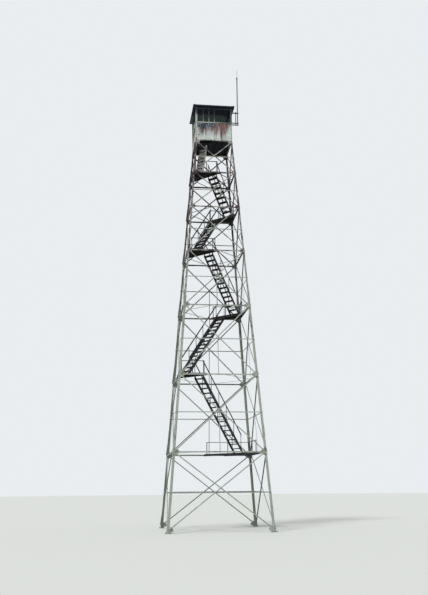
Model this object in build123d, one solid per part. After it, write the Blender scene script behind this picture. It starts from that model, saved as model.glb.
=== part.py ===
"""Fire lookout tower: a tapered steel lattice with zig-zag stairs and a square cab on top.

Millimetres, +Z up, the front face looks along -Y, the origin is on the ground in the middle.
"""
from build123d import *
import math
import os

# Tower shape
HEEL_HALF = 2758.0          # half width over the heels of the leg angles at ground level
CAB_HALF = 1090.0           # the same on top of the legs, where the cab stands
BAY_HEIGHTS = (4010.0, 4080.0, 3870.0, 3230.0, 2680.0, 2200.0, 2070.0)
MID_SHARES = (0.489, 0.505, 0.506, 0.508, 0.481, 0.477, 0.488)   # where the half height struts are
LEG_TOP = sum(BAY_HEIGHTS)
BAYS = len(BAY_HEIGHTS)
STRUT_LEVELS = tuple(sum(BAY_HEIGHTS[:n]) for n in range(1, BAYS))
MID_LEVELS = tuple(sum(BAY_HEIGHTS[:n]) + MID_SHARES[n] * BAY_HEIGHTS[n] for n in range(BAYS))
TAPER = (HEEL_HALF - CAB_HALF) / LEG_TOP
TILT = math.degrees(math.atan(TAPER))
SLOPE_COS = math.cos(math.atan(TAPER))
FOOT_JOINT = 150.0          # height where the lowest diagonals meet the legs
TOP_JOINT_DROP = 80.0       # from the leg tops down to where the highest ones do
TOP_JOINT = LEG_TOP - TOP_JOINT_DROP
HANGER_COUNT = 3            # hangers stand in the second bay and the ones above it

# Legs and base shoes
LEG_T = 12.0
LEG_W_LOW = 130.0
LEG_W_HIGH = 100.0
LEG_SPLICE = 12500.0
SHOE_SIZE = 300.0
SHOE_T = 25.0
BOLT_SPACING = 210.0
BOLT_HOLE_R = 13.5

# Bracing bars
GUSSET_T = 8.0
GUSSET_FOOT = (90.0, 190.0, 330.0)      # below and above the foot joint, and reach inward
GUSSET_STRUT = (190.0, 190.0, 340.0)    # the same at a main strut where the leg is LEG_W_LOW wide
GUSSET_HEAD = (150.0, 70.0, 260.0)      # the same at the top joint
GUSSET_EDGE = 20.0          # from the heel of the leg to the edge of a joint plate
GUSSET_NECK = 60.0          # half height of a joint plate at its inner end
BRACE_W = 60.0
BRACE_T = 6.0
BRACE_FLANGE = 50.0
BRACE_GAP = 5.0             # between an inner brace end and the leg or strut beside it
BRACE_SPARE = 15.0          # extra length that it stops short
BRACE_END = 40.0            # from the joint to the end of an outer brace
MID_STRUT_H = 50.0
MID_STRUT_INSET = 25.0      # from the heel of the leg to the end of a half height strut
HANGER_W = 40.0
STRUT_H = 70.0
STRUT_T = 8.0
STRUT_FLANGE = 70.0
STRUT_GAP = 3.0             # between a strut and its neighbour round the corner

# Landings: the sum x + y along the open edge of each one
LANDING_EDGE = (2100.0, -2700.0, 1860.0, -1450.0, 1200.0, -850.0)
DECK_T = 40.0
DECK_INSET = 60.0
BEARER_T = 12.0
BEARER_H = 90.0
BEARER_SHARE = 0.45         # where the second bearer is, from the open edge to the tip
BEARER_GAP = 2.0            # between a bearer's end and the strut
GUARD_INSET = 85.0          # guard rail centre inward of the deck edge, clear of the leaning faces
GUARD_H = 640.0
GUARD_POST = 40.0
GUARD_RAIL_H = 30.0
GUARD_LEAD = 60.0           # from the open edge to the first guard post, measured along x + y
GUARD_BACK = 420.0          # the same where the post must stand behind the foot of a flight

# Flat bars in plan between the middles of neighbouring struts
PLAN_W = 60.0
PLAN_T = 8.0
PLAN_OFFSET = 80.0

# Stair flights, one between each landing and the next
FLIGHT_OUTER = 755.0         # from the middle plane of the tower to the outer stringer
FLIGHT_INNER = 165.0
STRINGER_T = 10.0
STRINGER_W = 165.0
TREAD_T = 40.0
TREAD_DEPTH = 240.0
TREAD_FORWARD = 30.0        # down the flight from the middle of the stringers to that of a tread
RISER = 238.0
STRINGER_DROP = 10.0        # top end of a stringer below the upper deck
STRINGER_PAST = 20.0        # its lower edge reaches past the open edge of the lower deck
RAIL_HEIGHT = 650.0
RAIL_H = 70.0
RAIL_T = 16.0
POST_W = 40.0
POST_T = 12.0
POST_SPACING = 700.0
POST_INSET = 30.0           # from the ends of a handrail to its first and last post
POST_FOOT = 10.0            # above the lower edge of the stringer
SEAT = 0.3

# Cab
RING_T = 12.0
RING_W = 110.0
CAB_POST_W = 100.0
CAB_POST_T = 8.0
WALL_T = 25.0
JOIST_H = 108.0
JOIST_W = 60.0
TRIMMER_W = 50.0
TRIMMER_BACK = 10.0         # from the hatch to the trimmers beside it
FLOOR_T = 30.0
WALL_RISE = 1110.0          # from the leg tops to the top of the walls
WALL_TOP = LEG_TOP + WALL_RISE
SILL_H = 70.0
SILL_W = 70.0
BAND_H = 1060.0             # height of the window band
EAVE_Z = WALL_TOP + BAND_H
EAVE_BEAM_H = 110.0
MULLION_W = 24.0
MULLION_X = (-630.0, -290.0, 30.0)
MULLION_INSET = 15.0        # behind the outer face of the wall
FLOOR_JOINT = 3.0
HATCH = (-880.0, -140.0, -640.0, 230.0)
ROOF_REACH = 145.0
ROOF_HALF = CAB_HALF + ROOF_REACH
DRIP = 10.0
SOFFIT_HALF = ROOF_HALF - DRIP
SOFFIT_T = 12.0
ROOF_EDGE = 40.0
ROOF_RISE = 320.0
ROOF_T = 40.0
ROOF_TOP_HALF = 35.0        # half width of the flat on the peak
ATTIC_TOP_HALF = 15.0       # the same inside
FINIAL_HALF = 20.0
FINIAL_H = 200.0

# Ladder stair into the cab
LADDER_FOOT = (-860.0, -620.0)
LADDER_HEAD = (-520.0, -20.0)
LADDER_W = 440.0
LADDER_DEEP = 130.0
LADDER_STEPS = 9
LADDER_TREAD_T = 25.0

# Antenna
ARM_LOW = -25.0             # from the top of the wall to the lowest arm
ARM_MID = 95.0
ARM_HIGH = 750.0
ARM_Z = (WALL_TOP + ARM_LOW, WALL_TOP + ARM_MID, WALL_TOP + ARM_HIGH)
ARM_W = 84.0
ARM_T = 24.0
ARM_Y = CAB_POST_W / 2 - CAB_HALF
ARM_SPARE = 60.0            # from the axis of the mast to the ends of the arms
TUBE_OUT = 240.0            # from the corner post to the short tube
TUBE_APART = 110.0
TUBE_X = (CAB_HALF + TUBE_OUT, CAB_HALF + TUBE_OUT + TUBE_APART)
TUBE_R = (26.0, 31.0)
TUBE_SPARE = 60.0
MAST_H = 3121.0
WHIP_R = 8.0
WHIP_H = 530.0


def half_width(z):
    """Half width over the leg heels at a height."""
    return HEEL_HALF - TAPER * z


def leg_width(z):
    """Flange width of the leg angle at a height."""
    return LEG_W_LOW if z < LEG_SPLICE else LEG_W_HIGH


def face_x(z, inset):
    """Distance from the centre of a surface lying an inset behind the face of the tower."""
    return half_width(z) - inset / SLOPE_COS


def box(x0, x1, y0, y1, z0, z1):
    """Box between two corners."""
    size = Box(x1 - x0, y1 - y0, z1 - z0)
    return Pos((x0 + x1) / 2, (y0 + y1) / 2, (z0 + z1) / 2) * size


def on_face(shape, turn):
    """Moves a shape drawn in the plane of a face onto the front face, then turns it to another face."""
    outward = (0, -SLOPE_COS, math.sin(math.radians(TILT)))
    face = Plane(origin=(0, -HEEL_HALF, 0), x_dir=(1, 0, 0), z_dir=outward)
    return Rot(0, 0, 90 * turn) * (face.location * shape)


def face_plate(points, depth_low, depth_high):
    """Plate in a face: points are (across, height), depths are measured outward from the leg face."""
    outline = [(x, z / SLOPE_COS) for x, z in points]
    sketch = Pos(0, 0, depth_low) * make_face(Polyline(*outline, close=True))
    return extrude(sketch, amount=depth_high - depth_low, dir=(0, 0, 1))


def face_angle(start, end, depth, out):
    """Steel angle in a face from start to end, its outstanding flange pointing outward or inward."""
    a = Vector(start[0], start[1] / SLOPE_COS, 0)
    b = Vector(end[0], end[1] / SLOPE_COS, 0)
    along = (b - a).normalized()
    across = Vector(-along.Y, along.X, 0)
    h = BRACE_W / 2
    t = BRACE_T
    f = BRACE_FLANGE
    profile = [(-h, 0), (h, 0), (h, out * t), (t - h, out * t), (t - h, out * f), (-h, out * f)]
    plane = Plane(origin=a + Vector(0, 0, depth), x_dir=across, z_dir=along)
    sketch = make_face(Polyline(*profile, close=True))
    return plane.location * extrude(sketch, amount=(b - a).length, dir=(0, 0, 1))


def brace_ends(z_low, z_high, inner):
    """End points of a diagonal rising from the left leg to the right one."""
    low = (-half_width(z_low) + leg_width(z_low) / 2, z_low)
    high = (half_width(z_high) - leg_width(z_high) / 2, z_high)
    length = math.hypot(high[0] - low[0], high[1] - low[1])
    run = (high[0] - low[0]) / length
    rise = (high[1] - low[1]) / length
    if inner:
        clear_low = brace_clearance(z_low, run, rise)
        clear_high = brace_clearance(z_high, run, rise)
    else:
        clear_low = BRACE_END
        clear_high = BRACE_END
    start = (low[0] + run * clear_low, low[1] + rise * clear_low)
    end = (high[0] - run * clear_high, high[1] - rise * clear_high)
    return start, end


def brace_clearance(z, run, rise):
    """How far an inner diagonal stops from its joint to clear the leg flange and the strut."""
    past_strut = (STRUT_H / 2 + BRACE_GAP + BRACE_W / 2 * run) / rise
    past_leg = (leg_width(z) / 2 + BRACE_GAP + BRACE_W / 2 * rise) / run
    return max(past_strut, past_leg) + BRACE_SPARE


def diagonals(turn):
    """The X bracing of one face: one bar of each pair outside the leg flange, the other inside."""
    joints = (FOOT_JOINT,) + STRUT_LEVELS + (TOP_JOINT,)
    bars = []
    for z_low, z_high in zip(joints, joints[1:]):
        start, end = brace_ends(z_low, z_high, inner=False)
        bars.append(on_face(face_angle(start, end, GUSSET_T, 1), turn))
        start, end = brace_ends(z_low, z_high, inner=True)
        start = (-start[0], start[1])
        end = (-end[0], end[1])
        bars.append(on_face(face_angle(start, end, 0.0, -1), turn))
    return bars


def gusset(z, side, below, above, reach):
    """Joint plate on a leg: from below to above the joint, reaching in towards the middle."""
    w = leg_width(z)
    high = min(above, GUSSET_NECK)
    low = min(below, GUSSET_NECK)
    offsets = [(GUSSET_EDGE, -below), (GUSSET_EDGE, above), (w, above)]
    offsets += [(reach, high), (reach, -low), (w, -below)]
    points = [(side * (half_width(z + dz) - dx), z + dz) for dx, dz in offsets]
    return face_plate(points, 0.0, GUSSET_T)


def gussets(turn):
    """All joint plates of one face."""
    plates = []
    for side in (-1, 1):
        plates.append(gusset(FOOT_JOINT, side, *GUSSET_FOOT))
        for z in STRUT_LEVELS:
            scale = leg_width(z) / LEG_W_LOW
            plates.append(gusset(z, side, *[size * scale for size in GUSSET_STRUT]))
        plates.append(gusset(TOP_JOINT, side, *GUSSET_HEAD))
    return [on_face(plate, turn) for plate in plates]


def main_strut(z, turn):
    """Horizontal angle behind the leg flanges with its flat flange on top pointing inward."""
    top = z + STRUT_H / 2
    bottom = z - STRUT_H / 2
    outer_top = -face_x(top, LEG_T)
    outer_bottom = -face_x(bottom, LEG_T)
    t = STRUT_T / SLOPE_COS
    web_points = [(outer_bottom, bottom), (outer_top, top)]
    web_points += [(outer_top + t, top), (outer_bottom + t, bottom)]
    flange_in = outer_top + STRUT_FLANGE
    web_half = face_x(top, LEG_T + STRUT_T) - STRUT_GAP
    flange_half = -flange_in - STRUT_GAP
    profile = make_face(Polyline(*[(0, y, h) for y, h in web_points], close=True))
    web = extrude(profile, amount=web_half, dir=(1, 0, 0), both=True)
    flange = box(-flange_half, flange_half, outer_top + t / 2, flange_in, top - STRUT_T, top)
    return Rot(0, 0, 90 * turn) * (web + flange)


def mid_strut(z, turn):
    """Flat bar across the outside of the legs at half height of a bay."""
    low = z - MID_STRUT_H / 2
    high = z + MID_STRUT_H / 2
    reach_high = half_width(high) - MID_STRUT_INSET
    reach_low = half_width(low) - MID_STRUT_INSET
    points = [(reach_high, high), (-reach_high, high), (-reach_low, low), (reach_low, low)]
    return on_face(face_plate(points, 0.0, GUSSET_T), turn)


def hanger(bay, turn):
    """Short upright bar from a half height strut down to the main strut below it."""
    low = STRUT_LEVELS[bay - 1]
    high = MID_LEVELS[bay]
    half = HANGER_W / 2
    points = [(-half, low), (half, low), (half, high), (-half, high)]
    return on_face(face_plate(points, -LEG_T, 0.0), turn)


def struts(turn):
    """Struts, hangers and joint plates of one face."""
    bars = [main_strut(z, turn) for z in STRUT_LEVELS]
    bars += [mid_strut(z, turn) for z in MID_LEVELS]
    bars += [hanger(bay, turn) for bay in range(1, HANGER_COUNT + 1)]
    return bars


def leg_flange():
    """Flange of the front left leg that lies in the front face, with its step at the splice."""
    z0 = 0.0
    z1 = LEG_TOP + 50
    s = LEG_SPLICE
    foot = -half_width(z0)
    splice = -half_width(s)
    head = -half_width(z1)
    points = [(foot, z0), (foot + LEG_W_LOW, z0), (splice + LEG_W_LOW, s)]
    points += [(splice + LEG_W_HIGH, s), (head + LEG_W_HIGH, z1), (head, z1)]
    return face_plate(points, -LEG_T, 0.0)


def leg(turn):
    """Corner leg: two flanges meeting at the heel, cut level at foot and top."""
    front = on_face(leg_flange(), 0)
    side = on_face(mirror(leg_flange(), about=Plane.YZ), 3)
    column = front + side
    reach = HEEL_HALF + LEG_W_LOW
    keep = box(-reach, 0, -reach, 0, SHOE_T, LEG_TOP)
    return Rot(0, 0, 90 * turn) * (column & keep)


def base_shoes():
    """Foot plates under the legs, each with four anchor bolt holes."""
    centre = -(half_width(0) - LEG_W_LOW / 2)
    plate = Box(SHOE_SIZE, SHOE_SIZE, SHOE_T)
    for dx in (-0.5, 0.5):
        for dy in (-0.5, 0.5):
            plate -= Pos(dx * BOLT_SPACING, dy * BOLT_SPACING, 0) * Cylinder(BOLT_HOLE_R, SHOE_T)
    return [Rot(0, 0, 90 * turn) * (Pos(centre, centre, SHOE_T / 2) * plate) for turn in range(4)]


def deck_top(index):
    """Height of the walking surface of a landing."""
    return STRUT_LEVELS[index] + STRUT_H / 2 + DECK_T


def corner_sign(index):
    """Landings alternate: +1 in the rear right corner, -1 in the front left corner."""
    return 1 if index % 2 == 0 else -1


def landing_frame(index):
    """Corner and open edge of a landing as if it were in the rear right corner."""
    z = STRUT_LEVELS[index] + STRUT_H / 2
    edge = LANDING_EDGE[index] * corner_sign(index)
    corner = face_x(z + DECK_T, DECK_INSET)
    return z, edge, corner


def landing(index):
    """Corner landing: a three-sided deck on two struts, bearers under it and guard rails on it."""
    z, edge, corner = landing_frame(index)
    other = edge - corner
    outline = Polyline((corner, corner), (other, corner), (corner, other), close=True)
    pieces = [Pos(0, 0, z) * extrude(make_face(outline), amount=DECK_T, dir=(0, 0, 1))]
    depth = (2 * corner - edge) / math.sqrt(2)
    for setback in (0.0, BEARER_SHARE * depth):
        pieces.append(bearer(z, edge / math.sqrt(2) + setback))
    pieces += guard_rails(z + DECK_T, edge, corner - GUARD_INSET)
    return [Rot(0, 0, 0 if corner_sign(index) > 0 else 180) * piece for piece in pieces]


def bearer(z, reach):
    """Plate on edge under a deck, its ends notched below the strut flanges."""
    half = 2 * HEEL_HALF
    bar = Rot(0, 0, 45) * box(reach, reach + BEARER_T, -half, half, z - BEARER_H, z)
    lower_limit = face_x(z, LEG_T + STRUT_T) - BEARER_GAP
    upper_limit = face_x(z, LEG_T) - STRUT_FLANGE - BEARER_GAP
    seat = z - STRUT_T - SEAT
    lower = box(-lower_limit, lower_limit, -lower_limit, lower_limit, z - BEARER_H, seat)
    upper = box(-upper_limit, upper_limit, -upper_limit, upper_limit, seat, z)
    return bar & (lower + upper)


def guard_end(edge, line):
    """Where a guard rail ends: at the open edge, or past the foot of a flight in its way."""
    beside_flight = line - (FLIGHT_OUTER + POST_T + GUARD_POST) * math.sqrt(2)
    end = edge - line + GUARD_LEAD
    return end if end < beside_flight else edge - line + GUARD_BACK


def guard_rails(z, edge, line):
    """Posts and top rails along the two outer sides of a deck."""
    half = GUARD_POST / 2
    end = guard_end(edge, line)
    top = z + GUARD_H
    middle = (end + line) / 2
    posts = [(line, line), (middle, line), (end, line), (line, middle), (line, end)]
    pieces = [box(x - half, x + half, y - half, y + half, z, top) for x, y in posts]
    pieces.append(box(end - half, line + half, line - half, line + half, top, top + GUARD_RAIL_H))
    pieces.append(box(line - half, line + half, end - half, line - half, top, top + GUARD_RAIL_H))
    return pieces


def plan_bracing(index):
    """Flat bars under the strut flanges that cut off the three corners without a landing."""
    z, edge, corner = landing_frame(index)
    z1 = z - STRUT_T
    z0 = z1 - PLAN_T
    limit = face_x(z1, LEG_T + STRUT_T) - 1
    out = (limit + PLAN_OFFSET) / math.sqrt(2)
    reach = 2 * HEEL_HALF
    inside = box(-limit, limit, -limit, limit, z0, z1)
    before_edge = Rot(0, 0, 45) * box(-reach, edge / math.sqrt(2) - SEAT, -reach, reach, z0, z1)
    bars = []
    for turn in (0, 2, 3):
        bar = Rot(0, 0, 90 * turn - 45) * box(out - PLAN_W / 2, out + PLAN_W / 2, -reach, reach, z0, z1)
        bars.append(bar & inside & before_edge)
    return [Rot(0, 0, 0 if corner_sign(index) > 0 else 180) * bar for bar in bars]


def flight(index):
    """Flight of open treads from the landing of this index down to the one below it."""
    sign = -corner_sign(index)
    top = deck_top(index)
    bottom = deck_top(index - 1)
    x_top = sign * LANDING_EDGE[index] / math.sqrt(2)
    x_bottom = sign * LANDING_EDGE[index - 1] / math.sqrt(2)
    reach = x_bottom + STRINGER_PAST - x_top
    drop = top - STRINGER_DROP - bottom
    w = STRINGER_W
    steep = (drop * reach - w * math.sqrt(drop ** 2 + reach ** 2 - w ** 2)) / (reach ** 2 - w ** 2)
    deep = w * math.sqrt(1 + steep ** 2)
    x_start = x_top + SEAT
    z_start = top - STRINGER_DROP
    z_foot = bottom + SEAT
    outline = [(x_start, z_start), (x_start + (z_start - z_foot) / steep, z_foot)]
    outline += [(x_start + (z_start - deep - z_foot) / steep, z_foot), (x_start, z_start - deep)]
    pieces = []
    y_pair = (-FLIGHT_OUTER, -FLIGHT_INNER)
    y0 = y_pair[0] + STRINGER_T
    y1 = y_pair[1] - STRINGER_T
    half = TREAD_DEPTH / 2
    for y in (y_pair[0], y_pair[1] - STRINGER_T):
        pieces.append(side_plate(outline, y, y + STRINGER_T))
    count = round((top - bottom) / RISER)
    rise = (top - bottom) / count
    for step in range(1, count):
        z = top - step * rise
        x = x_start + (z_start - deep / 2 - z) / steep
        x = x + TREAD_FORWARD
        pieces.append(box(x - half, x + half, y0, y1, z - TREAD_T, z))
    pieces += handrails(x_start, z_start, z_foot, steep, deep, y_pair)
    turn = 45 if sign > 0 else 225
    return [Rot(0, 0, turn) * piece for piece in pieces]


def side_plate(outline, y0, y1):
    """Plate standing along a flight: outline points are (along, height)."""
    face = make_face(Polyline(*[(x, y0, z) for x, z in outline], close=True))
    return extrude(face, amount=y1 - y0, dir=(0, 1, 0))


def handrails(x_start, z_start, z_foot, steep, deep, y_pair):
    """Two handrails with posts bolted to the outsides of the stringers."""
    pieces = []
    run = (z_start - deep - z_foot) / steep
    slant = RAIL_H * math.sqrt(1 + steep ** 2)
    posts = max(2, round(run / POST_SPACING) + 1)
    for y0, y1 in ((y_pair[0] - POST_T, y_pair[0]), (y_pair[1], y_pair[1] + POST_T)):
        for i in range(posts):
            x = x_start + POST_INSET + (run - 2 * POST_INSET - POST_W) * i / (posts - 1)
            foot = z_start - steep * (x - x_start) - deep + POST_FOOT
            head_a = z_start - steep * (x - x_start) + RAIL_HEIGHT
            head_b = head_a - steep * POST_W
            outline = [(x, foot), (x + POST_W, foot), (x + POST_W, head_b), (x, head_a)]
            pieces.append(side_plate(outline, y0, y1))
        head = z_start + RAIL_HEIGHT
        end = x_start + run
        drop = steep * run
        rail = [(x_start, head), (end, head - drop)]
        rail += [(end, head - drop + slant), (x_start, head + slant)]
        middle = (y0 + y1) / 2
        pieces.append(side_plate(rail, middle - RAIL_T / 2, middle + RAIL_T / 2))
    return pieces


def cab_ladder():
    """Steep stair from the top landing through the hatch in the cab floor."""
    foot_z = deck_top(5) + SEAT
    head_z = LEG_TOP + RING_T + JOIST_H + FLOOR_T
    run_x = LADDER_HEAD[0] - LADDER_FOOT[0]
    run_y = LADDER_HEAD[1] - LADDER_FOOT[1]
    run = math.hypot(run_x, run_y)
    steep = (head_z - foot_z) / run
    deep = LADDER_DEEP
    outline = [(0, foot_z), (deep, foot_z), (run + deep, head_z), (run, head_z)]
    half = LADDER_W / 2
    pieces = [side_plate(outline, -half, STRINGER_T - half)]
    pieces.append(side_plate(outline, half - STRINGER_T, half))
    rise = (head_z - foot_z) / LADDER_STEPS
    for step in range(1, LADDER_STEPS):
        z = foot_z + step * rise
        x = step * rise / steep
        pieces.append(box(x, x + deep, STRINGER_T - half, half - STRINGER_T, z - LADDER_TREAD_T, z))
    place = Pos(LADDER_FOOT[0], LADDER_FOOT[1], 0) * Rot(0, 0, math.degrees(math.atan2(run_y, run_x)))
    return [place * piece for piece in pieces]


def square_frame(half, width, z0, z1):
    """Four bars round a square: front and rear run full width, the sides fit between them."""
    inner = half - width
    bars = []
    for low, high in ((-half, -inner), (inner, half)):
        bars.append(box(-half, half, low, high, z0, z1))
        bars.append(box(low, high, -inner, inner, z0, z1))
    return bars


def cab_ring():
    """Flat steel ring on the leg tops that carries the cab."""
    return square_frame(CAB_HALF, RING_W, LEG_TOP, LEG_TOP + RING_T)


def floor_joists():
    """Rim beams and joists under the cab floor."""
    z0 = LEG_TOP + RING_T
    z1 = z0 + JOIST_H
    half = CAB_HALF - CAB_POST_T - WALL_T
    pieces = square_frame(half, JOIST_W, z0, z1)
    inner = half - JOIST_W
    before = HATCH[0] - TRIMMER_BACK
    behind = HATCH[1] + TRIMMER_BACK
    spacing = (inner - behind) / 3
    for x in (before - TRIMMER_W, behind, behind + spacing, behind + 2 * spacing):
        pieces.append(box(x, x + TRIMMER_W, -inner, inner, z0, z1))
    for y in (HATCH[2] - TRIMMER_BACK - TRIMMER_W, HATCH[3] + TRIMMER_BACK):
        pieces.append(box(before, behind, y, y + TRIMMER_W, z0, z1))
    return pieces


def cab_floor():
    """Floor panels round the hatch, with narrow joints between them."""
    z0 = LEG_TOP + RING_T + JOIST_H
    half = CAB_HALF - CAB_POST_T - WALL_T
    x0, x1, y0, y1 = HATCH
    j = FLOOR_JOINT / 2
    panels = [(-half, x0 - j, -half, half), (x1 + j, half, -half, half)]
    panels += [(x0 + j, x1 - j, -half, y0), (x0 + j, x1 - j, y1, half)]
    return [box(a, b, c, d, z0, z0 + FLOOR_T) for a, b, c, d in panels]


def cab_wall(turn):
    """Sheet wall up to the sill; front and rear run full width, the sides fit between them."""
    outer = CAB_HALF - CAB_POST_T
    length = outer if turn in (0, 2) else outer - WALL_T
    wall = box(-length, length, -outer, -outer + WALL_T, LEG_TOP + RING_T, WALL_TOP)
    return [Rot(0, 0, 90 * turn) * wall]


def corner_posts():
    """Steel angle posts outside the four corners of the cab."""
    posts = []
    outer = CAB_HALF
    inner = CAB_HALF - CAB_POST_T
    flange = CAB_HALF - CAB_POST_W
    for turn in range(4):
        whole = box(-outer, -flange, -outer, -flange, LEG_TOP + RING_T, EAVE_Z)
        cut = box(-inner, 0, -inner, 0, LEG_TOP, EAVE_Z + 10)
        posts.append(Rot(0, 0, 90 * turn) * (whole - cut))
    return posts


def sill_rails():
    """Rails on top of the low walls."""
    return square_frame(CAB_HALF - CAB_POST_T, SILL_W, WALL_TOP, WALL_TOP + SILL_H)


def eave_beams():
    """Beams over the window band."""
    return square_frame(CAB_HALF - CAB_POST_T, SILL_W, EAVE_Z - EAVE_BEAM_H, EAVE_Z)


def mullions(turn):
    """Thin upright window bars between sill and eave beam."""
    y0 = -CAB_HALF + CAB_POST_T + MULLION_INSET
    z0 = WALL_TOP + SILL_H
    z1 = EAVE_Z - EAVE_BEAM_H
    half = MULLION_W / 2
    bars = [box(x - half, x + half, y0, y0 + MULLION_W, z0, z1) for x in MULLION_X]
    return [Rot(0, 0, 90 * turn) * bar for bar in bars]


def soffit():
    """Flat ceiling that reaches out under the roof edge."""
    return [box(-SOFFIT_HALF, SOFFIT_HALF, -SOFFIT_HALF, SOFFIT_HALF, EAVE_Z, EAVE_Z + SOFFIT_T)]


def hip(half, low, high, top_half):
    """Solid with four sloping sides: one gable crossed with the same gable turned a quarter."""
    outline = [(0, -half, low), (0, half, low), (0, top_half, high), (0, -top_half, high)]
    gable = extrude(make_face(Polyline(*outline, close=True)), amount=half, dir=(1, 0, 0), both=True)
    return gable & (Rot(0, 0, 90) * gable)


def roof():
    """Low hip roof as a hollow shell, with a short finial post on its peak."""
    base = EAVE_Z + SOFFIT_T
    edge = base + ROOF_EDGE
    peak = edge + ROOF_RISE
    slab = box(-ROOF_HALF, ROOF_HALF, -ROOF_HALF, ROOF_HALF, base, edge)
    shell = slab + hip(ROOF_HALF, edge, peak, ROOF_TOP_HALF)
    shell -= hip(ROOF_HALF - ROOF_T, base, peak - ROOF_T, ATTIC_TOP_HALF)
    post = box(-FINIAL_HALF, FINIAL_HALF, -FINIAL_HALF, FINIAL_HALF, peak - 10, peak + FINIAL_H)
    return [shell + post]


def antenna_arms():
    """Bracket arms on the right flange of the front right corner post."""
    pieces = []
    end = TUBE_X[1] + ARM_SPARE
    for index, z in enumerate(ARM_Z):
        arm = box(CAB_HALF, end, ARM_Y - ARM_W / 2, ARM_Y + ARM_W / 2, z, z + ARM_T)
        if index > 0:
            for x, r in zip(TUBE_X, TUBE_R):
                arm -= Pos(x, ARM_Y, z + ARM_T / 2) * Cylinder(r + SEAT, ARM_T + 2)
        pieces.append(arm)
    return pieces


def antenna_mast():
    """Short tube and tall mast standing on the lowest arm, the mast with a thin whip on top."""
    foot = ARM_Z[0] + ARM_T
    short_h = ARM_Z[2] + ARM_T + TUBE_SPARE - foot
    tube = Pos(TUBE_X[0], ARM_Y, foot + short_h / 2) * Cylinder(TUBE_R[0], short_h)
    mast = Pos(TUBE_X[1], ARM_Y, foot + MAST_H / 2) * Cylinder(TUBE_R[1], MAST_H)
    whip = Pos(TUBE_X[1], ARM_Y, foot + MAST_H + WHIP_H / 2) * Cylinder(WHIP_R, WHIP_H)
    return [tube, mast + whip]


def assemble():
    """Every node of the tower with its solids."""
    nodes = {}
    corners = ("front_left", "front_right", "rear_right", "rear_left")
    faces = ("front", "right", "rear", "left")
    for turn, name in enumerate(corners):
        nodes[name + "_leg"] = [leg(turn)]
    nodes["base_shoes"] = base_shoes()
    for turn, name in enumerate(faces):
        nodes[name + "_diagonals"] = diagonals(turn)
        nodes[name + "_struts"] = struts(turn)
        nodes[name + "_gussets"] = gussets(turn)
    for index in range(6):
        nodes["landing_%d" % (index + 1)] = landing(index)
    nodes["plan_bracing"] = [bar for index in range(6) for bar in plan_bracing(index)]
    for index in range(1, 6):
        nodes["stair_flight_%d" % index] = flight(index)
    nodes["cab_ladder"] = cab_ladder()
    nodes["cab_ring"] = cab_ring()
    nodes["floor_joists"] = floor_joists()
    nodes["cab_floor"] = cab_floor()
    for turn, name in enumerate(faces):
        nodes[name + "_wall"] = cab_wall(turn)
    nodes["corner_posts"] = corner_posts()
    nodes["sill_rails"] = sill_rails()
    nodes["window_mullions"] = [bar for turn in range(4) for bar in mullions(turn)]
    nodes["eave_beams"] = eave_beams()
    nodes["soffit"] = soffit()
    nodes["roof"] = roof()
    nodes["antenna_arms"] = antenna_arms()
    nodes["antenna_mast"] = antenna_mast()
    return nodes


def export(nodes):
    """Writes one STEP file for each node."""
    os.makedirs("parts", exist_ok=True)
    for name, solids in nodes.items():
        found = [s for piece in solids for s in piece.solids()]
        shape = found[0] if len(found) == 1 else Compound(children=found)
        export_step(shape, "parts/" + name + ".step")


export(assemble())
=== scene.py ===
"""Looks of a steel fire lookout tower: weathered lattice, plank stairs, sheet clad cab and antenna.

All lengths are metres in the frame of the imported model, +Z up, the front face towards -Y.
"""
import logging
import math
from collections.abc import Sequence
from dataclasses import dataclass, field
from enum import Enum

import bpy
import numpy as np
from mathutils import Matrix, Vector


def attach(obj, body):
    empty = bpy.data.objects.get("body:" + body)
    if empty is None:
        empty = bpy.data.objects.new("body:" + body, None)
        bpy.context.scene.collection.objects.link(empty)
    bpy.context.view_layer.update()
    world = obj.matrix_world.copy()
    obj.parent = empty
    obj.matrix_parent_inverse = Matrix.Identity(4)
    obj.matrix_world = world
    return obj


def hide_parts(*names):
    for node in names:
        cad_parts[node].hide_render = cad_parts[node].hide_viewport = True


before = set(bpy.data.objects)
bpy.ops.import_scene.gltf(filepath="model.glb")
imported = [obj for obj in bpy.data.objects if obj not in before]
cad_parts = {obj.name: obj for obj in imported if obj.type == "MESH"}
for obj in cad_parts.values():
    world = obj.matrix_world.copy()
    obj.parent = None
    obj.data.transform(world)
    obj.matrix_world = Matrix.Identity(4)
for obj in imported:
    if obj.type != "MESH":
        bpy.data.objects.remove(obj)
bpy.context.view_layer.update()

Material = bpy.types.Material
Socket = bpy.types.NodeSocket
Source = Socket | float | str | Sequence[float]
Finishes = dict[str, Material]
Pair = tuple[float, float]
Triple = tuple[float, float, float]
Range = tuple[float, float, float, float]  # two ends, and what they are turned into
Shades = tuple[str, str, str]

LOG = logging.getLogger("lookout_tower")
FACES = ("front", "right", "rear", "left")
CORNERS = ("front_left", "front_right", "rear_right", "rear_left")
QUARTERS = (0, 90, 180, 270)  # degrees from the front face to each face in turn
X_AXIS = np.array([1.0, 0.0, 0.0])
Y_AXIS = np.array([0.0, 1.0, 0.0])
UP = np.array([0.0, 0.0, 1.0])

COLOURS = {"data_type": "RGBA", "out": "Result"}  # sets a Mix node to mix colours
BLOTCHY = {"Detail": 7.0, "Roughness": 0.62}  # noise of patches with ragged edges
WHOLE = (0.0, 1.0)  # a share, from none to all


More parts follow.
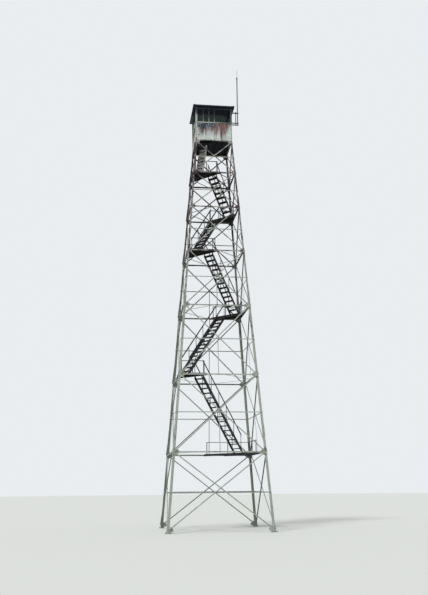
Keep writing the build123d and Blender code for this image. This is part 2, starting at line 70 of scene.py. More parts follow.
def linear(colour: str) -> tuple[float, float, float, float]:
    """Turns an sRGB hex colour into linear light by the sRGB curve.

    Args:
        colour: Six hex digits after a hash.

    Returns:
        Red, green and blue in linear light, and an alpha of 1.
    """
    parts = [int(colour[i:i + 2], 16) / 255 for i in (1, 3, 5)]
    red, green, blue = [c / 12.92 if c <= 0.04045 else ((c + 0.055) / 1.055) ** 2.4 for c in parts]
    return red, green, blue, 1.0


def per_metre(size_mm: float) -> float:
    """How many times a size in millimetres goes into a metre."""
    return 1000 / size_mm


def unit(v: np.ndarray) -> np.ndarray:
    """Vectors along the last axis scaled to length one."""
    return v / np.linalg.norm(v, axis=-1, keepdims=True)


def turned(points: np.ndarray, degrees: float) -> np.ndarray:
    """Points turned about the upright axis of the tower.

    Args:
        points: Array whose last axis is x, y, z.
        degrees: Angle, anticlockwise from above.

    Returns:
        The turned points in an array of the same shape.
    """
    a = math.radians(degrees)
    rows = [[math.cos(a), math.sin(a), 0.0], [-math.sin(a), math.cos(a), 0.0], [0.0, 0.0, 1.0]]
    return points @ np.array(rows)


class Recipe:
    """A node tree under construction, of a material or of the world."""

    def __init__(self, name: str, owner: bpy.types.World | None = None) -> None:
        """Starts a material with a bare main shader, or takes up the nodes of the world.

        Args:
            name: Name of the new material.
            owner: The world, where the nodes are its own.
        """
        self.owner = owner or bpy.data.materials.new(name)
        self.owner.use_nodes = True
        self.tree = self.owner.node_tree
        self.shader = self.tree.nodes.get("Principled BSDF")

    def add(self, kind: str, *sources: Source, out: int | str = 0, **named: Source) -> Socket:
        """Adds one node.

        Args:
            kind: Blender's name of the node type, without the ShaderNode before it.
            sources: What goes into its first inputs, in order.
            out: Name or index of the output that is wanted.
            named: Its settings, and then what goes into other inputs.

        Returns:
            That output of the new node.
        """
        node = self.tree.nodes.new("ShaderNode" + kind)
        self.feed(node, **named)
        self.feed(node, *sources)
        return node.outputs[out]

    def feed(self, node: bpy.types.Node, *sources: Source, **named: Source) -> None:
        """Joins outputs to the inputs of a node, and sets plain values on inputs and settings.

        Args:
            node: The node.
            sources: Outputs, numbers, vectors or hex colours for its first inputs, in order.
            named: The same by the input's or setting's name, an underscore for each space.
        """
        for key, source in (dict(enumerate(sources)) | named).items():
            if isinstance(key, str) and hasattr(node, key):
                setattr(node, key, source)
                continue
            socket = node.inputs[key.replace("_", " ") if isinstance(key, str) else key]
            if isinstance(source, Socket):
                self.tree.links.new(source, socket)
            else:
                socket.default_value = linear(source) if isinstance(source, str) else source


def fill_ramp(ramp: Socket, places: Sequence[float], colours: Sequence[str | float]) -> Socket:
    """Sets the stops of a colour ramp.

    Args:
        ramp: Its output.
        places: Positions of the stops, rising.
        colours: Hex colour or grey level of each stop.

    Returns:
        The same output.
    """
    stops = ramp.node.color_ramp.elements
    while len(stops) < len(places):
        stops.new(1.0)
    for stop, place, colour in zip(stops, places, colours):
        stop.position = place
        stop.color = linear(colour) if isinstance(colour, str) else (colour, colour, colour, 1.0)
    return ramp


@dataclass(frozen=True)
class WeatheredZinc:
    """Rolled steel angle, hot-dip galvanised, after decades outdoors.

    Dipping left crystals in the zinc, which show as a faint spangle. It has gone dull grey-green,
    with rain streaks. Higher up, where the coat has worn off, a dull pinkish film and then dark
    rust spread over it. Beyond a plane, where the dot product of place and normal passes the
    plane's offset, only a share of that wear shows: painted light that keeps the outer, sunlit
    members paler.
    """

    name: str = "weathered_galvanised_steel"
    zinc: Shades = ("#879088", "#a7b0a6", "#c3c9c0")
    zinc_at: Triple = (0.3, 0.5, 0.72)
    film: str = "#8d7f84"
    film_gain: float = 1.7
    rust: Shades = ("#1f1d24", "#39323a", "#665350")
    rust_at: Triple = (0.32, 0.5, 0.68)
    rust_gain: float = 0.19  # how much the wear adds to the patches
    rust_grit: float = 0.25  # how much the fine noise frays their edges
    rust_edge: Pair = (0.73, 0.86)  # sums between which the rust comes in
    spangle_mm: float = 24.0  # a crystal is about 8 mm; drawn coarser, so that it shows
    patch_mm: float = 420.0
    streak_mm: Pair = (45.0, 5000 / 7)  # width and length
    wears: Pair = (8.0, 20.0)  # heights between which the wear sets in
    # share of the wear that shows beyond the plane; below 1 it is painted light on the sunlit outer
    # members
    lit_side: float = 1.0
    plane: tuple[float, float, float, float] = (0.0, -1.0, 0.07534, 2.762)  # normal and offset
    rough: Pair = (0.5, 0.88)  # of zinc and of rust
    metal: float = 0.3  # a chalked coat is a dull mirror
    pits: Pair = (0.5, 0.0008)  # strength and depth in metres

    def build(self) -> Material:
        """Makes the material.

        Returns:
            The finished material, patterned on Object coordinates.
        """
        r = Recipe(self.name)
        place = r.add("TexCoord", out="Object")
        height = r.add("SeparateXYZ", place, out="Z")
        # painted light: beyond the plane the wear is cut to a share, so the outer members look
        # sunlit
        ahead = r.add("VectorMath", place, self.plane[:3], operation="DOT_PRODUCT", out="Value")
        ahead = r.add("Math", ahead, self.plane[3], operation="GREATER_THAN")
        lit_paling = r.add("MapRange", ahead, *WHOLE, 1.0, self.lit_side)
        worn = r.add("MapRange", height, *self.wears)
        worn = r.add("Math", worn, lit_paling, operation="MULTIPLY")
        patch = r.add("TexNoise", place, Scale=per_metre(self.patch_mm), **BLOTCHY)
        fine = r.add("TexNoise", place, Scale=per_metre(self.spangle_mm), Detail=4.0)
        flake = r.add("TexVoronoi", place, Scale=per_metre(self.spangle_mm), out="Color")
        wide, long = map(per_metre, self.streak_mm)
        stretch = r.add("Mapping", place, Scale=(wide, wide, long))
        streak = r.add("TexNoise", stretch, Scale=1.0, Detail=5.0)
        tone = r.add("Mix", Factor=0.3, A=streak, B=flake)
        zinc = fill_ramp(r.add("ValToRGB", tone), self.zinc_at, self.zinc)
        film = r.add("Math", worn, patch, operation="MULTIPLY")
        film = r.add("Math", film, self.film_gain, operation="MULTIPLY", use_clamp=True)
        coat = r.add("Mix", film, **COLOURS, A=zinc, B=self.film)
        rusty = r.add("Math", worn, self.rust_gain, patch, operation="MULTIPLY_ADD")
        rusty = r.add("Math", fine, self.rust_grit, rusty, operation="MULTIPLY_ADD")
        rusty = r.add("MapRange", rusty, *self.rust_edge)
        rust = fill_ramp(r.add("ValToRGB", fine), self.rust_at, self.rust)
        colour = r.add("Mix", rusty, **COLOURS, A=coat, B=rust)
        rough = r.add("MapRange", rusty, *WHOLE, *self.rough)
        metal = r.add("MapRange", rusty, *WHOLE, self.metal, 0.0)
        bump = r.add("Bump", *self.pits, Height=fine)
        r.feed(r.shader, Base_Color=colour, Roughness=rough, Metallic=metal, Normal=bump)
        return r.owner


@dataclass(frozen=True)
class OldPaint:
    """Brushed oil paint on steel or wood, chalked by the sun, with dirt and rust through it.

    Chalking leaves it matt and blotchy between two shades. Dirt runs down it in streaks, and where
    patches and flecks add up, it has flaked to rust. Painted shade darkens it where height + lean *
    x passes the two ends of a line, as under the eaves; by default they are out of reach.
    """

    name: str
    paint: str
    faded: str
    dirt: str
    rust: str = "#6d4331"
    patch_mm: float = 180.0
    fleck_mm: float = 50 / 3
    streak_mm: Pair = (500 / 13, 625.0)  # width and length
    blend: Pair = (0.35, 0.65)  # patch levels of the two shades
    dirt_range: Range = (0.5, 0.72, 0.0, 0.7)  # from streak level to share of dirt
    flaw_edge: Pair = (0.79, 0.84)  # sums between which the paint gives way to rust
    fleck_share: float = 0.4
    wear: float = 0.0  # lowers both ends of that edge
    rough: float = 0.7
    # painted shade: a darker colour above a slanted line, for the shade of the eaves
    painted_shade: str = "#1f242c"
    painted_shade_line: Pair = (90.0, 91.0)
    painted_shade_most: float = 0.88
    lean: float = 0.0
    pits: Pair = (0.4, 0.0008)  # strength and depth in metres

    def build(self) -> Material:
        """Makes the material.

        Returns:
            The finished material, patterned on Object coordinates.
        """
        r = Recipe(self.name)
        place = r.add("TexCoord", out="Object")
        axes = r.add("SeparateXYZ", place).node.outputs
        patch = r.add("TexNoise", place, Scale=per_metre(self.patch_mm), Detail=6.0, Roughness=0.6)
        fine = r.add("TexNoise", place, Scale=per_metre(self.fleck_mm), Detail=4.0)
        wide, long = map(per_metre, self.streak_mm)
        stretch = r.add("Mapping", place, Scale=(wide, wide, long))
        streak = r.add("TexNoise", stretch, Scale=1.0, Detail=4.0)
        colour = fill_ramp(r.add("ValToRGB", patch), self.blend, (self.paint, self.faded))
        dirty = r.add("MapRange", streak, *self.dirt_range)
        flaw = r.add("Math", fine, self.fleck_share, patch, operation="MULTIPLY_ADD")
        flaw = r.add("MapRange", flaw, *(edge - self.wear for edge in self.flaw_edge))
        level = r.add("Math", axes["X"], self.lean, axes["Z"], operation="MULTIPLY_ADD")
        shade_share = r.add("MapRange", level, *self.painted_shade_line, 0.0, self.painted_shade_most)
        # dirt, rust, and last the painted shade
        for coat, amount in ((self.dirt, dirty), (self.rust, flaw), (self.painted_shade, shade_share)):
            colour = r.add("Mix", amount, **COLOURS, A=colour, B=coat)
        bump = r.add("Bump", *self.pits, Height=fine)
        r.feed(r.shader, Base_Color=colour, Normal=bump, Roughness=self.rough)
        return r.owner


@dataclass(frozen=True)
class CabSheet:
    """Pressed sheet steel cladding, painted off-white: chalky, dented, with rust runs and smears.

    Rust runs down from the sill and dark smears lie below it. The place round the walls is
    (x + y) / (4 * reach) + 0.5: 0 at the front left corner, 0.5 at the two next to it and 1 at the
    last. Over it, pairs of place and level say how far down the rust and the smears come. A range
    turns two levels into the shares of a coat that they get.
    """

    name: str = "painted_sheet_steel"
    paint: Shades = ("#b0bbb6", "#cfd8d4", "#e5ebe7")
    paint_at: Triple = (0.3, 0.5, 0.68)
    rust: Shades = ("#94716a", "#664340", "#3c302c")
    rust_at: Triple = (0.4, 0.52, 0.64)
    rust_range: Range = (0.98, 1.28, 0.0, 0.9)
    tint: str = "#8d8488"  # thin rust water round the runs
    tint_range: Range = (0.72, 1.05, 0.0, 0.8)
    run_mm: Pair = (75.0, 2000 / 3)  # width and length
    run_share: float = 1.2
    stain_mm: float = 230.0
    stain_share: float = 0.6
    smear: tuple[str, str] = ("#7e8b9c", "#243039")
    smear_at: Pair = (0.4, 0.52)
    smear_range: Range = (0.6, 0.9, 0.0, 0.92)
    smear_fade: float = 2.3  # how fast the smears end below the sill
    smudge_mm: float = 1000 / 7
    smudge_share: float = 1.1
    foot_band: str = "#5a564c"  # darker band along the foot of the wall
    foot_band_height: float = 0.16
    foot_band_share: float = 0.42
    foot_band_range: Range = (0.72, 0.95, 0.0, 0.7)
    # painted shade: all but the outer skin of the walls is near black, for the shade inside the cab
    inner_shade: str = "#20252c"
    skin: float = 0.006  # thickness of the outer side, the rest is the dark inside
    sill: float = 23.26
    foot: float = 22.152
    reach: float = 1.082
    # a hole in the sheet drawn as a dark spot: painted shade inside the hole
    hole_shade_at: Triple = (-0.90, -1.082, 22.48)
    hole_shade_range: Range = (0.03, 0.065, 0.85, 0.0)  # from distance to share of black
    rough: Pair = (0.55, 0.9)  # of paint and of rust
    dent_mm: float = 312.5
    dents: Pair = (0.5, 0.02)  # strength and depth in metres
    pits: Pair = (0.3, 0.001)  # the same
    runs: tuple[Pair, ...] = (
        (0.0, 0.0), (0.02, 0.15), (0.05, 0.6), (0.09, 0.68), (0.12, 0.56), (0.15, 0.66),
        (0.17, 0.48), (0.2, 0.64), (0.22, 0.52), (0.25, 0.68), (0.272, 0.6), (0.288, 1.0),
        (0.303, 0.5), (0.322, 0.42), (0.345, 1.0), (0.38, 0.96), (0.405, 0.75), (0.43, 0.5),
        (0.46, 0.3), (0.5, 0.2), (0.56, 0.15), (0.66, 0.6), (0.74, 0.3), (0.84, 0.7),
        (0.92, 0.3), (1.0, 0.15))
    smears: tuple[Pair, ...] = (
        (0.01, 0.25), (0.04, 0.75), (0.09, 0.95), (0.13, 1.0), (0.18, 1.0), (0.205, 0.6),
        (0.23, 0.85), (0.26, 0.45), (0.29, 0.1), (0.5, 0.1), (0.75, 0.45), (1.0, 0.3))

    def build(self) -> Material:
        """Makes the material.

        The rust is the level of the runs - depth + shares of streaked and blotchy noise, the
        smears are their level - fade * depth + a share of twisted noise; depth is 0 at the sill
        and 1 at the foot. The layers go over the paint in the order of the loop.

        Returns:
            The finished material, patterned on Object coordinates.
        """
        r = Recipe(self.name)
        place = r.add("TexCoord", out="Object")
        axes = r.add("SeparateXYZ", place).node.outputs
        stain = r.add("TexNoise", place, Scale=per_metre(self.stain_mm), **BLOTCHY)
        wide, long = map(per_metre, self.run_mm)
        stretch = r.add("Mapping", place, Scale=(wide, wide, long))
        run = r.add("TexNoise", stretch, Scale=1.0, Detail=6.0, Roughness=0.6)
        size = per_metre(self.smudge_mm)
        smudge = r.add("TexNoise", place, Scale=size, Detail=5.0, Distortion=1.2)
        side = r.add("Math", axes["X"], axes["Y"], operation="ADD")
        about = r.add("Math", side, 0.25 / self.reach, 0.5, operation="MULTIPLY_ADD")
        depth = r.add("MapRange", axes["Z"], self.sill, self.foot)
        colour = fill_ramp(r.add("ValToRGB", stain), self.paint_at, self.paint)

        level = fill_ramp(r.add("ValToRGB", about), *zip(*self.runs))
        level = r.add("Math", level, depth, operation="SUBTRACT")
        for share, noise in ((self.run_share, run), (self.stain_share, stain)):
            level = r.add("Math", noise, share, level, operation="MULTIPLY_ADD")
        warm = r.add("MapRange", level, *self.tint_range)
        rusty = r.add("MapRange", level, *self.rust_range)
        rust = fill_ramp(r.add("ValToRGB", run), self.rust_at, self.rust)

        level = fill_ramp(r.add("ValToRGB", about), *zip(*self.smears))
        for share, source in ((-self.smear_fade, depth), (self.smudge_share, smudge)):
            level = r.add("Math", source, share, level, operation="MULTIPLY_ADD")
        dark = r.add("MapRange", level, *self.smear_range)
        smear = fill_ramp(r.add("ValToRGB", smudge), self.smear_at, self.smear)

        # darker towards the foot of the wall, frayed by the runs
        top = self.foot + self.foot_band_height
        edge = r.add("MapRange", axes["Z"], top, self.foot, 0.0, self.foot_band_share)
        edge = r.add("Math", edge, run, operation="ADD")
        edge = r.add("MapRange", edge, *self.foot_band_range)
        # painted shade of the hole, fading with distance from its middle
        gap = r.add("VectorMath", place, self.hole_shade_at, operation="DISTANCE", out="Value")
        gap = r.add("MapRange", gap, *self.hole_shade_range)
        # painted shade inside the cab: everything behind the outer skin
        across, along = (r.add("Math", axes[axis], operation="ABSOLUTE") for axis in "XY")
        inner_shade_mask = r.add("Math", across, along, operation="MAXIMUM")
        inner_shade_mask = r.add("Math", inner_shade_mask, self.reach - self.skin, operation="LESS_THAN")

        layers = ((self.tint, warm), (rust, rusty), (smear, dark), (self.foot_band, edge),
                  (self.smear[1], gap), (self.inner_shade, inner_shade_mask))
        for coat, amount in layers:
            colour = r.add("Mix", amount, **COLOURS, A=colour, B=coat)
        rough = r.add("MapRange", rusty, *WHOLE, *self.rough)
        dent = r.add("TexNoise", place, Scale=per_metre(self.dent_mm), Detail=1.0)
        dents = r.add("Bump", *self.dents, Height=dent)
        grain = r.add("Bump", *self.pits, Height=stain, Normal=dents)
        r.feed(r.shader, Base_Color=colour, Roughness=rough, Normal=grain)
        return r.owner


class Grain(Enum):
    """Which way boards run: the shares of x and y in the place across them."""

    ALONG_X = (0.0, 1.0)
    ALONG_Y = (1.0, 0.0)


@dataclass(frozen=True)
class DarkBoards:
    """Sawn, stained softwood tongue-and-groove under a roof or floor, nearly black: stain and
    painted shade.

    Each board has its own tone and a long fibre, with a dark groove between it and the next. Round
    one place the boards are paler: a painted pool of light, where light reaches them.
    """

    name: str
    # dark blue-black: partly stain, partly painted shade of the underside
    wood: Shades = ("#19223a", "#263250", "#3a465a")
    wood_at: Triple = (0.25, 0.5, 0.8)
    groove: str = "#0a0b0e"
    # painted light: a paler pool round one place
    painted_light_pool: str = "#7f9394"
    light_pool_at: Triple = (0.0, 0.75, 0.0)
    light_pool_range: Range = (0.63, 1.05, 0.8, 0.0)  # from distance to share
    squash: Triple = (0.5, 1.0, 0.0)  # makes that place twice as long along x
    board_mm: float = 140.0
    joint_mm: float = 7.0
    fibre_mm: Triple = (500.0, 500 / 31, 25.0)  # length, width and height
    grain: Grain = Grain.ALONG_X
    rough: float = 0.8
    relief: Pair = (0.5, 0.003)  # strength and depth in metres

    def build(self) -> Material:
        """Makes the material.

        The place across the boards, divided by their width, has a whole part that numbers the
        board and a rest that is near 0 at the joint.

        Returns:
            The finished material, patterned on Object coordinates.
        """
        r = Recipe(self.name)
        in_x, in_y = self.grain.value
        boards = per_metre(self.board_mm)
        place = r.add("TexCoord", out="Object")
        axes = r.add("SeparateXYZ", place).node.outputs
        side = r.add("Math", axes["X"], in_x * boards, operation="MULTIPLY")
        across = r.add("Math", axes["Y"], in_y * boards, side, operation="MULTIPLY_ADD")
        number, rest = (r.add("Math", across, operation=part) for part in ("FLOOR", "FRACT"))
        tone = r.add("TexWhiteNoise", noise_dimensions="1D", W=number)
        long, wide, high = map(per_metre, self.fibre_mm)
        scale = (long + (wide - long) * in_x, long + (wide - long) * in_y, high)
        stretch = r.add("Mapping", place, Scale=scale)
        fibre = r.add("TexNoise", stretch, Scale=1.0, Detail=6.0)
        mixed = r.add("Mix", Factor=0.4, A=fibre, B=tone)
        wood = fill_ramp(r.add("ValToRGB", mixed), self.wood_at, self.wood)
        # painted pool of light, fading with distance from one place
        away = r.add("VectorMath", place, self.squash, operation="MULTIPLY")
        away = r.add("VectorMath", away, self.light_pool_at, operation="DISTANCE", out="Value")
        light_pool_share = r.add("MapRange", away, *self.light_pool_range)
        gap = r.add("Math", rest, self.joint_mm / self.board_mm, operation="LESS_THAN")
        colour = r.add("Mix", light_pool_share, **COLOURS, A=wood, B=self.painted_light_pool)
        colour = r.add("Mix", gap, **COLOURS, A=colour, B=self.groove)
        depth = r.add("Math", fibre, gap, operation="SUBTRACT")
        bump = r.add("Bump", *self.relief, Height=depth)
        r.feed(r.shader, Base_Color=colour, Normal=bump, Roughness=self.rough)
        return r.owner


@dataclass(frozen=True)
class WornPlank:
    """Sawn softwood plank, creosoted: trodden grey-tan on top, nearly black below, split with age.

    The fibre follows the plank, and each plank has its own tone and its own stretch of grain.
    Faces that point up are paler and faces that point down nearly black: partly trodden wear,
    partly painted light and shade.
    """

    name: str = "creosoted_plank"
    below: Shades = ("#14161a", "#25272a", "#3b3a37")
    above: Shades = ("#3d3a32", "#6b6658", "#96907c")
    shades_at: Triple = (0.25, 0.5, 0.78)
    grain_mm: Pair = (1000 / 3, 9.0)  # length and width; a ring is 3 mm, drawn coarser to show
    shift: Triple = (37.0, 53.0, 11.0)  # how far a tone moves the grain
    # painted light and shade: faces that point down get the nearly black shades, faces that point
    # up the paler ones
    facing: Pair = (0.2, 0.8)  # upward part of the normal, from below to above
    rough: float = 0.85
    relief: Pair = (0.6, 0.002)  # strength and depth in metres

    def build(self) -> Material:
        """Makes the material.

        Returns:
            The finished material, patterned on the piece's UV map in metres and its tone attribute.
        """
        r = Recipe(self.name)
        flat = r.add("UVMap", uv_map="UVMap")
        tone = r.add("Attribute", attribute_name="tone", out="Fac")
        shift = r.add("CombineXYZ", tone, tone, tone)
        moved = r.add("VectorMath", shift, self.shift, flat, operation="MULTIPLY_ADD")
        stretch = r.add("Mapping", moved, Scale=(*map(per_metre, self.grain_mm), 1.0))
        fibre = r.add("TexNoise", stretch, Scale=1.0, Detail=7.0, Distortion=0.6)
        mixed = r.add("Mix", Factor=0.35, A=fibre, B=tone)
        under, over = (fill_ramp(r.add("ValToRGB", mixed), self.shades_at, shades)
                       for shades in (self.below, self.above))
        normal = r.add("NewGeometry", out="True Normal")
        rising = r.add("SeparateXYZ", normal, out="Z")
        # painted light and shade by the way the face points, over real trodden wear on top
        lit_top_share = r.add("MapRange", rising, *self.facing)
        colour = r.add("Mix", lit_top_share, **COLOURS, A=under, B=over)
        bump = r.add("Bump", *self.relief, Height=fibre)
        r.feed(r.shader, Base_Color=colour, Normal=bump, Roughness=self.rough)
        return r.owner


def make_finishes() -> Finishes:
    """Makes every finish of the tower.

    Returns:
        The materials by the names that the sub-assemblies use.
    """
    return {
        # Galvanised angle: dull zinc that turns from grey-green to film and rust going up
        "zinc": WeatheredZinc().build(),
        # The same on the front face, paled by painted light: paler, with less than half the wear
        "lit_zinc": WeatheredZinc("sunlit_galvanised_steel", film="#8f8786", lit_side=0.45).build(),
        # Forged and galvanised bolts: darker than the plates, with rust starting lower down
        "bolt": WeatheredZinc("bolt_steel", ("#5f645f", "#7b827b", "#959c93"),
                              rust_edge=(0.70, 0.83), wears=(2.0, 18.0)).build(),
        # Rolled stair plates with little zinc left: dark blue-grey with brown-black rust
        "stair": WeatheredZinc("rusted_stair_steel", ("#262a33", "#383b43", "#54565a"),
                               film="#343138", rust=("#1b1b21", "#322f34", "#544743"),
                               wears=(-8.0, 14.0)).build(),
        # Creosoted planks: trodden and pale above with painted light, nearly black from below with
        # painted shade
        "plank": WornPlank().build(),
        # Painted sheet walls: chalky white with rust runs and dark smears
        "sheet": CabSheet().build(),
        # Brushed trim paint: pale and chalked, darkened to black up high by painted shade of the
        # eaves
        "trim": OldPaint("chalked_pale_paint", "#b2bcb4", "#cbd3cb", "#7a7d75", wear=0.02,
                         painted_shade_line=(23.42, 23.60), lean=0.3, painted_shade="#1c2434").build(),
        # The same paint on the sill: greyer, with painted shade that darkens it up high and to the
        # right
        "sill": OldPaint("shaded_sill_paint", "#a0aaa0", "#b6beb4", "#6b6e68", wear=0.02,
                         painted_shade_line=(23.20, 23.75), lean=1.0, painted_shade="#262e33").build(),
        # Brushed ladder board: pale green paint that catches the light
        "pale_board": OldPaint("pale_green_paint", "#d3ddd0", "#e6ebe2", "#a3a899").build(),
        # The other ladder board: the same board in painted shade, dark olive
        "shaded_board": OldPaint("olive_painted_shade", "#3d3f33", "#525444", "#2b2a25").build(),
        # Sawn riser boards, bleached by the sun to a lilac grey
        "riser": OldPaint("bleached_riser_board", "#a9a1a6", "#c6bec2", "#6a6468").build(),
        # Stained ceiling boards: blue-black, with a painted pool of light towards the rear windows
        "ceiling": DarkBoards("ceiling_boards").build(),
        # Floor boards from below: darker, with no painted pool of light
        # floor colours: partly stain, partly painted shade of the underside
        "floor": DarkBoards("floor_boards", ("#141b2a", "#1f2a3e", "#2f383c"),
                            painted_light_pool="#1c2130", grain=Grain.ALONG_Y).build(),
        # Stained joists and beams: matt, near black from stain and painted shade; on the eave beams
        # it is the roof's painted shadow
        "joist": OldPaint("joist_stain_and_painted_shade", "#191d25", "#282c33", "#121419",
                          rust="#1b1a1c").build(),
        # Rolled roof sheet under old bitumen paint: dark slate with brown rust spots
        "roof": OldPaint("weathered_roof_sheet", "#22262e", "#343840", "#1a1b20",
                         rust="#46342f", wear=0.04).build(),
        # Drawn aerial tube: dull mid grey
        "mast": OldPaint("dull_mast_tube", "#565e66", "#747c82", "#363b42").build(),
        # Flat bar arms and collars: dark blue-grey paint
        "clamp": OldPaint("dark_clamp_steel", "#242a36", "#363c46", "#1b1d24").build(),
    }


def rectangle(x0: float, x1: float, y0: float, y1: float) -> np.ndarray:
    """Section of four corners, anticlockwise."""
    return np.array([(x0, y0), (x1, y0), (x1, y1), (x0, y1)])


def angle_section(wide: float, high: float, thick: float) -> np.ndarray:
    """Section of a steel angle: one flange along x, the other along y, its heel at zero."""
    return np.array([(0, 0), (wide, 0), (wide, thick), (thick, thick), (thick, high), (0, high)])


def round_section(radius: float, sides: int) -> np.ndarray:
    """Regular polygon: the point at turn a is radius * (cos a, sin a)."""
    a = 2 * np.pi * np.arange(sides) / sides
    return radius * np.stack([np.cos(a), np.sin(a)], -1)


@dataclass
class Piece:
    """One mesh of the dressed tower, gathered from prisms before it is made."""

    name: str
    points: list[np.ndarray] = field(default_factory=list)
    faces: list[list[int]] = field(default_factory=list)
    flat: list[np.ndarray] = field(default_factory=list)
    tones: list[np.ndarray] = field(default_factory=list)
    count: int = 0

    def prisms(self, profile: np.ndarray, start: np.ndarray, end: np.ndarray, across: np.ndarray,
               seed: int = 1) -> None:
        """Adds straight bars of one section.

        A point of a bar is start + x * across + y * (along x across), carried to the other end. The
        section runs anticlockwise in x and y. On the map, u runs along the bar and v round it.

        Args:
            profile: Section of k points, shaped (k, 2), or one for each bar, (n, k, 2).
            start: First ends, (n, 3).
            end: Other ends, (n, 3).
            across: Direction of the section's x, (n, 3) or (3,).
            seed: Seed of the tone that each bar gets.
        """
        start = np.atleast_2d(np.asarray(start, float))
        end = np.atleast_2d(np.asarray(end, float))
        n = len(start)
        along = unit(end - start)
        side = np.broadcast_to(np.asarray(across, float), start.shape)
        side = unit(side - (side * along).sum(-1, keepdims=True) * along)
        up = np.cross(along, side)
        shape = np.broadcast_to(np.asarray(profile, float), (n,) + np.shape(profile)[-2:])
        k = shape.shape[1]
        ring = shape[..., :1] * side[:, None] + shape[..., 1:] * up[:, None]
        block = np.stack([ring + start[:, None], ring + end[:, None]], 1)
        first = self.count + 2 * k * np.arange(n)[:, None, None]
        near = np.arange(k)
        after = (near + 1) % k
        sides = np.stack([near, after, after + k, near + k], -1)[None] + first
        self.faces += sides.reshape(-1, 4).tolist()
        self.faces += (near[::-1][None] + first[:, 0]).tolist()
        self.faces += (near[None] + k + first[:, 0]).tolist()
        edges = np.linalg.norm(np.roll(shape, -1, 1) - shape, axis=-1)
        v1 = np.cumsum(edges, 1)
        v0 = v1 - edges
        u1 = np.broadcast_to(np.linalg.norm(end - start, axis=-1)[:, None], v0.shape)
        u0 = np.zeros_like(v0)
        quad = np.stack([np.stack(uv, -1) for uv in ((u0, v0), (u0, v1), (u1, v1), (u1, v0))], 2)
        self.flat += [quad.reshape(-1, 2), shape[:, ::-1].reshape(-1, 2), shape.reshape(-1, 2)]
        self.points.append(block.reshape(-1, 3))
        self.tones.append(np.repeat(np.random.default_rng(seed).random(n), 2 * k))
        self.count += 2 * k * n

    def slab(self, outline: np.ndarray, low: float, high: float, turn: float = 0.0,
             seed: int = 1) -> None:
        """Adds level plates.

        Args:
            outline: Outline in plan, anticlockwise from above, (k, 2) or (n, k, 2).
            low: Height of the underside.
            high: Height of the top.
            turn: Degrees that the plates are turned about the tower's upright axis.
            seed: Seed of their tones.
        """
        plates = len(outline) if np.ndim(outline) == 3 else 1
        foot = np.tile(low * UP, (plates, 1))
        self.prisms(outline, foot, foot + (high - low) * UP, turned(X_AXIS, turn), seed)

    def side_plate(self, outline: Sequence[Pair], near: float, far: float, turn: float = 0.0,
                   place: np.ndarray | None = None) -> None:
        """Adds an upright plate.

        Args:
            outline: Points (along, height), anticlockwise seen from the near side.
            near: Place of the near side, the lower one, across the outline's plane.
            far: Place of the far side.
            turn: Degrees that the plate is turned about the upright axis.
            place: Origin that the turned plate is moved to, (3,).
        """
        ends = turned(np.array([far * Y_AXIS, near * Y_AXIS]), turn)
        if place is not None:
            ends = ends + place
        self.prisms(np.array(outline), ends[:1], ends[1:], turned(X_AXIS, turn))

    def bolts(self, seats: np.ndarray, out: np.ndarray, radius: float = 0.017) -> None:
        """Adds hexagon heads, each on a washer that is a quarter wider.

        Args:
            seats: Points on the plate under the heads, (n, 3).
            out: Directions that the bolts point in, (n, 3) or (3,).
            radius: Radius over the corners of a head.
        """
        washer, sunk, wider, tall, upright = 0.003, 0.001, 1.25, 0.75 * radius, 0.9
        seats = np.atleast_2d(seats)
        out = unit(np.broadcast_to(np.asarray(out, float), seats.shape))
        side = np.cross(out, np.where(np.abs(out[:, 2:]) > upright, [X_AXIS], [UP]))
        top = seats + washer * out
        self.prisms(round_section(radius * wider, 8), seats - sunk * out, top, side)
        self.prisms(round_section(radius, 6), top, seats + (washer + tall) * out, side)

    def make(self, material: Material, slot: str, bevel_mm: float = 0.0,
             stands_for: tuple[str, ...] = ()) -> bpy.types.Object:
        """Makes the mesh, dresses it and hangs it on the tower.

        Args:
            material: Its finish.
            slot: The record's material slot that the finish belongs to; not used.
            bevel_mm: Width of the rounding of its edges.
            stands_for: CAD nodes that it is shown in place of.

        Returns:
            The finished object.
        """
        mesh = bpy.data.meshes.new(self.name)
        mesh.from_pydata(np.concatenate(self.points).tolist(), [], self.faces)
        layer = mesh.uv_layers.new(name="UVMap")
        layer.data.foreach_set("uv", np.concatenate(self.flat).astype(np.float32).ravel())
        tone = mesh.attributes.new("tone", "FLOAT", "POINT")
        tone.data.foreach_set("value", np.concatenate(self.tones).astype(np.float32))
        mesh.materials.append(material)
        thing = bpy.data.objects.new(self.name, mesh)
        bpy.context.scene.collection.objects.link(thing)
        if bevel_mm:
            edge = thing.modifiers.new("edge", "BEVEL")
            edge.width = bevel_mm / 1000
            edge.segments = 1
            edge.limit_method = "ANGLE"
        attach(thing, "root")
        if stands_for:
            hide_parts(*stands_for)
        LOG.info("%s: %d faces", self.name, len(self.faces))
        return thing


def dress(node: str, material: Material) -> None:
    """Gives a CAD node its finish.

    Args:
        node: Name of the node.
        material: The finish.
    """
    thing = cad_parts[node]
    thing.data.materials.clear()
    thing.data.materials.append(material)
    LOG.info("%s: dressed with %s", node, material.name)


